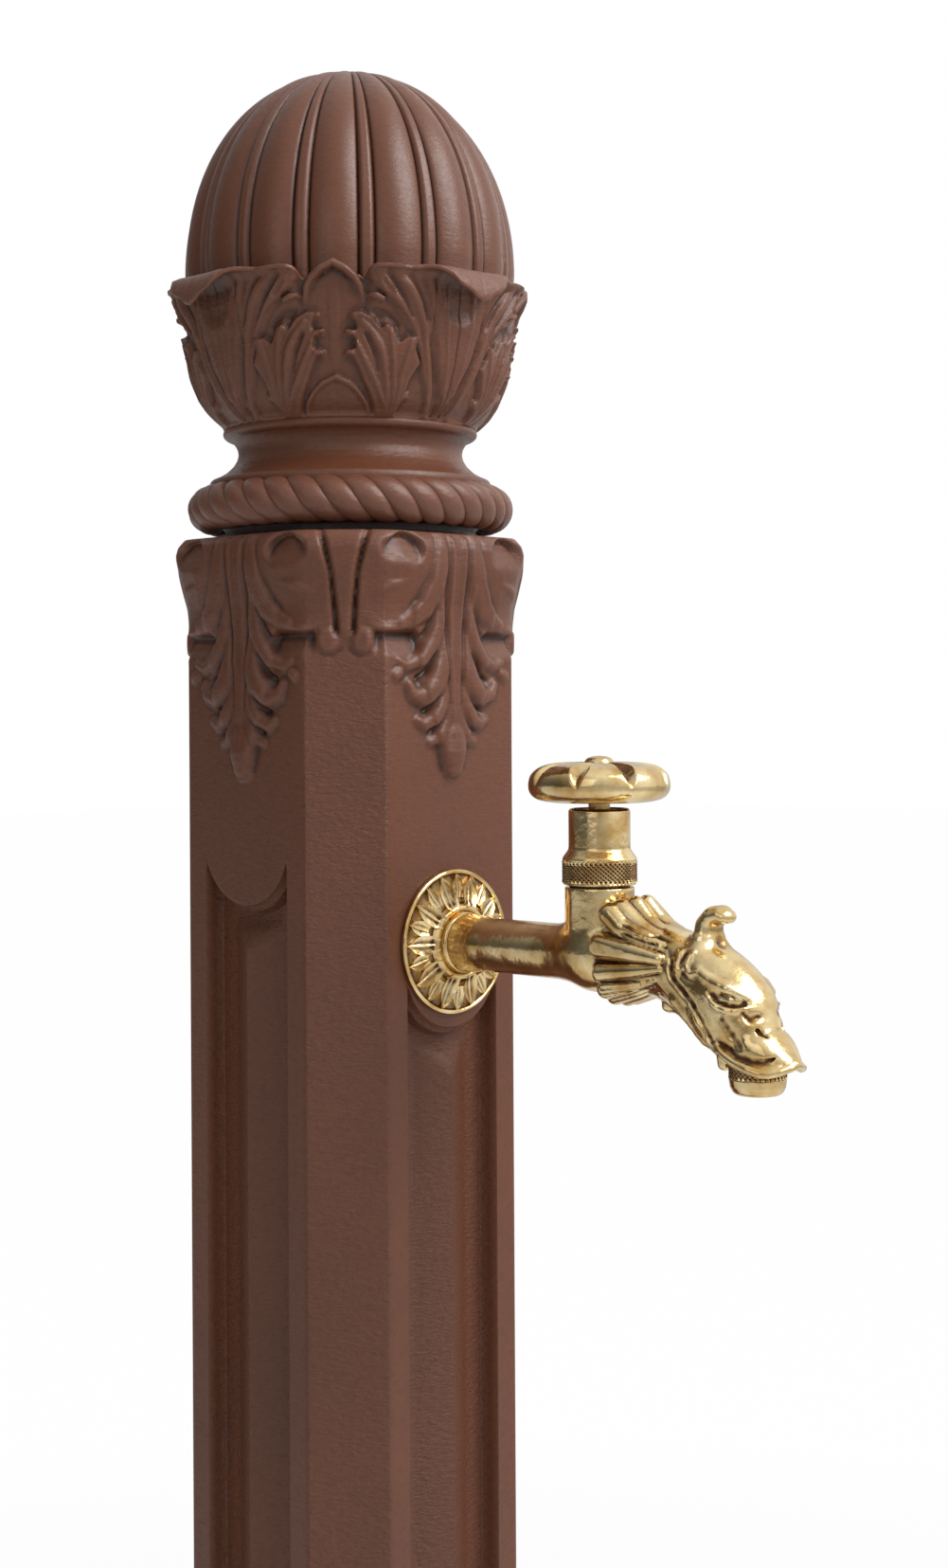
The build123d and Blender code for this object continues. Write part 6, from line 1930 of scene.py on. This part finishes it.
        dip = depth * np.clip(1.0 - (arc / grow) ** 1.6, 0, 1)
        away = np.gradient(profile, axis=0)
        away = np.stack([-away[:, 1], away[:, 0]], axis=-1)
        away /= np.maximum(np.linalg.norm(away, axis=1), 1e-9)[:, None]
        on_top = (np.arange(len(profile)) < fine)[:, None]
        radius = radius + away[:, 0:1] * dip * np.where(away[:, 0:1] > 0, -1, 1) * on_top
        level = level - np.abs(away[:, 1:2]) * dip
        points = np.stack([radius * np.cos(angle), radius * np.sin(angle) - self.valve, level],
                          axis=-1).reshape(-1, 3)
        mesh = make_mesh("wheel", points, grid_faces(len(profile), columns, True, True), None, 60)
        mark_hollows(mesh, 0.7, 8)
        add_piece("wheel_rim", mesh, finishes, Slot.AGED, ["handwheel"], Body.SPINDLE)
        button = rounded([(0, 775), (1.9, 775), (1.9, 782.8), (5.2, 782.8), (5.35, 783.6), (4.4, 784.9),
                          (2.4, 785.6),
                          (0, 785.8)], 0.5, 4)
        self.turned_piece("wheel_button", button, self.valve, Body.SPINDLE, "wheel_screw", finishes, False)

    def build(self, finishes: Finishes) -> None:
        """Builds and dresses all the trim."""
        self.build_rosette(finishes)
        self.build_cap(finishes)
        self.build_nozzle(finishes)
        self.build_wheel(finishes)


# Carried-over nodes, camera and studio


def dress_nodes(finishes: Finishes) -> None:
    """Gives every carried-over node the finish of its slot.

    Args:
        finishes: the object's finishes.
    """
    slots = {row["node"]: Slot(row["material_slot"]) for row in frame["record"]["subparts"]}
    for name, node in frame["nodes"].items():
        node = bpy.data.objects[node] if isinstance(node, str) else node
        finish = finishes.of(slots[name])
        if not node.material_slots:
            LOG.warning("%s has no material slot", name)
        for place in node.material_slots:
            place.material = finish
        LOG.info("%s keeps its shape in %s", name, finish.name)


@dataclass(frozen=True)
class StudioView:
    """Camera that stands where the photographer stood."""

    place: tuple[float, float, float] = (-618.3, -670.3, 801.6)
    heading: float = -45.75
    roll: float = -0.32
    lens: float = 52.2
    shift: float = -0.0456

    def build(self) -> None:
        """Creates the camera and makes it the scene's."""
        data = bpy.data.cameras.new("studio_view")
        data.lens, data.sensor_width, data.sensor_fit = self.lens, 36.0, "AUTO"
        data.shift_y, data.clip_start, data.clip_end = self.shift, 0.02, 40.0
        camera = bpy.data.objects.new("studio_view", data)
        camera.location = [value * MM for value in self.place]
        camera.rotation_mode = "XYZ"
        turn = Matrix.Rotation(math.radians(self.heading), 4, "Z") @ Matrix.Rotation(math.pi / 2, 4, "X") \
            @ Matrix.Rotation(math.radians(self.roll), 4, "Z")
        camera.rotation_euler = turn.to_euler()
        bpy.context.scene.collection.objects.link(camera)
        bpy.context.scene.camera = camera


@dataclass(frozen=True)
class Studio:
    """Pale floor, white surroundings and soft lamps."""

    ambient: float = 0.62
    key_power: float = 38.0
    fill_power: float = 2.5
    bright_side: tuple[float, float, float] = (0.50, -0.50, 0.70)
    dark_side: float = 0.26
    mirror_power: float = 1.7
    floor_half: float = 15.0
    shadow_reach: tuple[float, float] = (0.3, 1.6)
    whiteness: tuple[float, float] = (0.8, 0.985)
    floor_mirror: float = 0.16
    aim: tuple[float, float, float] = (0.0, 0.0, 0.75)
    key_place: tuple[float, float, float] = (0.45, -1.35, 2.1)
    key_size: float = 1.3
    fill_place: tuple[float, float, float] = (-1.4, -0.5, 1.3)
    fill_size: float = 1.0

    def build_world(self) -> None:
        """White where seen or mirrored, and a soft even light elsewhere."""
        world = bpy.data.worlds.new("studio")
        bpy.context.scene.world = world
        world.use_nodes = True
        kit = NodeKit(world.node_tree)
        kit.tree.nodes.clear()
        path = kit.node("ShaderNodeLightPath").outputs
        way = kit.node("ShaderNodeTexCoord").outputs["Generated"]
        facing = kit.node("ShaderNodeVectorMath", {0: way, 1: self.bright_side}, operation="DOT_PRODUCT")
        glow = kit.fit(facing.outputs["Value"], -0.55, 0.6, self.dark_side, 1.0)
        mirrored = (glow ** self.mirror_power).least(path["Is Camera Ray"])
        soft = kit.node("ShaderNodeBackground", {0: (1, 1, 1, 1), 1: glow * self.ambient})
        seen = kit.node("ShaderNodeBackground", {0: (1, 1, 1, 1), 1: mirrored})
        sharp = kit.math("MAXIMUM", path["Is Camera Ray"], path["Is Glossy Ray"])
        share = sharp.least(path["Is Transmission Ray"])
        mix = kit.node("ShaderNodeMixShader", {0: share, 1: soft.outputs[0], 2: seen.outputs[0]})
        kit.node("ShaderNodeOutputWorld", {0: mix.outputs[0]})

    def build_floor(self) -> None:
        """Plain pale floor that keeps a light shadow."""
        mesh = bpy.data.meshes.new("floor")
        half = self.floor_half
        corners = [(-half, -half, 0), (half, -half, 0), (half, half, 0), (-half, half, 0)]
        mesh.from_pydata(corners, [], [(0, 1, 2, 3)])
        floor = bpy.data.objects.new("floor", mesh)
        bpy.context.scene.collection.objects.link(floor)
        material = bpy.data.materials.new("pale_floor")
        material.use_nodes = True
        kit = NodeKit(material.node_tree)
        shader = kit.tree.nodes["Principled BSDF"]
        kit.feed(shader.inputs["Base Color"], (0.86, 0.86, 0.86, 1))
        kit.feed(shader.inputs["Roughness"], 0.8)
        path = kit.node("ShaderNodeLightPath").outputs
        spot = kit.node("ShaderNodeTexCoord").outputs["Object"]
        far = kit.node("ShaderNodeVectorMath", {0: spot}, operation="LENGTH").outputs["Value"]
        white = kit.fit(far, *self.shadow_reach, *self.whiteness)
        mirrored = kit.math("MULTIPLY", path["Is Glossy Ray"], self.floor_mirror)
        seen = kit.math("MAXIMUM", path["Is Camera Ray"], mirrored)
        glow = kit.node("ShaderNodeEmission").outputs[0]
        mix = kit.node("ShaderNodeMixShader",
                       {0: kit.math("MULTIPLY", seen, white), 1: shader.outputs[0], 2: glow})
        kit.feed(kit.tree.nodes["Material Output"].inputs[0], mix.outputs[0])
        mesh.materials.append(material)

    def build_lamp(self, name: str, place: tuple[float, float, float], size: float, power: float) -> None:
        """Soft square lamp that faces the column.

        Args:
            name: name of the lamp.
            place: where it hangs, in metres.
            size: side of the square in metres.
            power: power in watts.
        """
        data = bpy.data.lights.new(name, "AREA")
        data.shape, data.size, data.energy = "SQUARE", size, power
        lamp = bpy.data.objects.new(name, data)
        lamp.location = place
        lamp.rotation_euler = (Vector(self.aim) - Vector(place)).to_track_quat("-Z", "Y").to_euler()
        bpy.context.scene.collection.objects.link(lamp)

    def build(self) -> None:
        """Builds the whole studio."""
        self.build_world()
        self.build_floor()
        self.build_lamp("key", self.key_place, self.key_size, self.key_power)
        self.build_lamp("fill", self.fill_place, self.fill_size, self.fill_power)


def write_sizes() -> None:
    """Updates the view layer."""
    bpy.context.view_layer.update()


def main() -> None:
    """Builds the looks in order: finishes, column, finial, tap, nodes, camera and studio."""
    logging.basicConfig(level=logging.INFO, format="%(name)s %(message)s")
    bpy.context.scene.view_settings.view_transform = "Standard"
    finishes = mix_finishes()
    Column().build(finishes)
    Finial().build(finishes)
    TapBody().build(finishes)
    TapTrim().build(finishes)
    dress_nodes(finishes)
    StudioView().build()
    Studio().build()
    write_sizes()


if __name__ == "__main__":
    main()
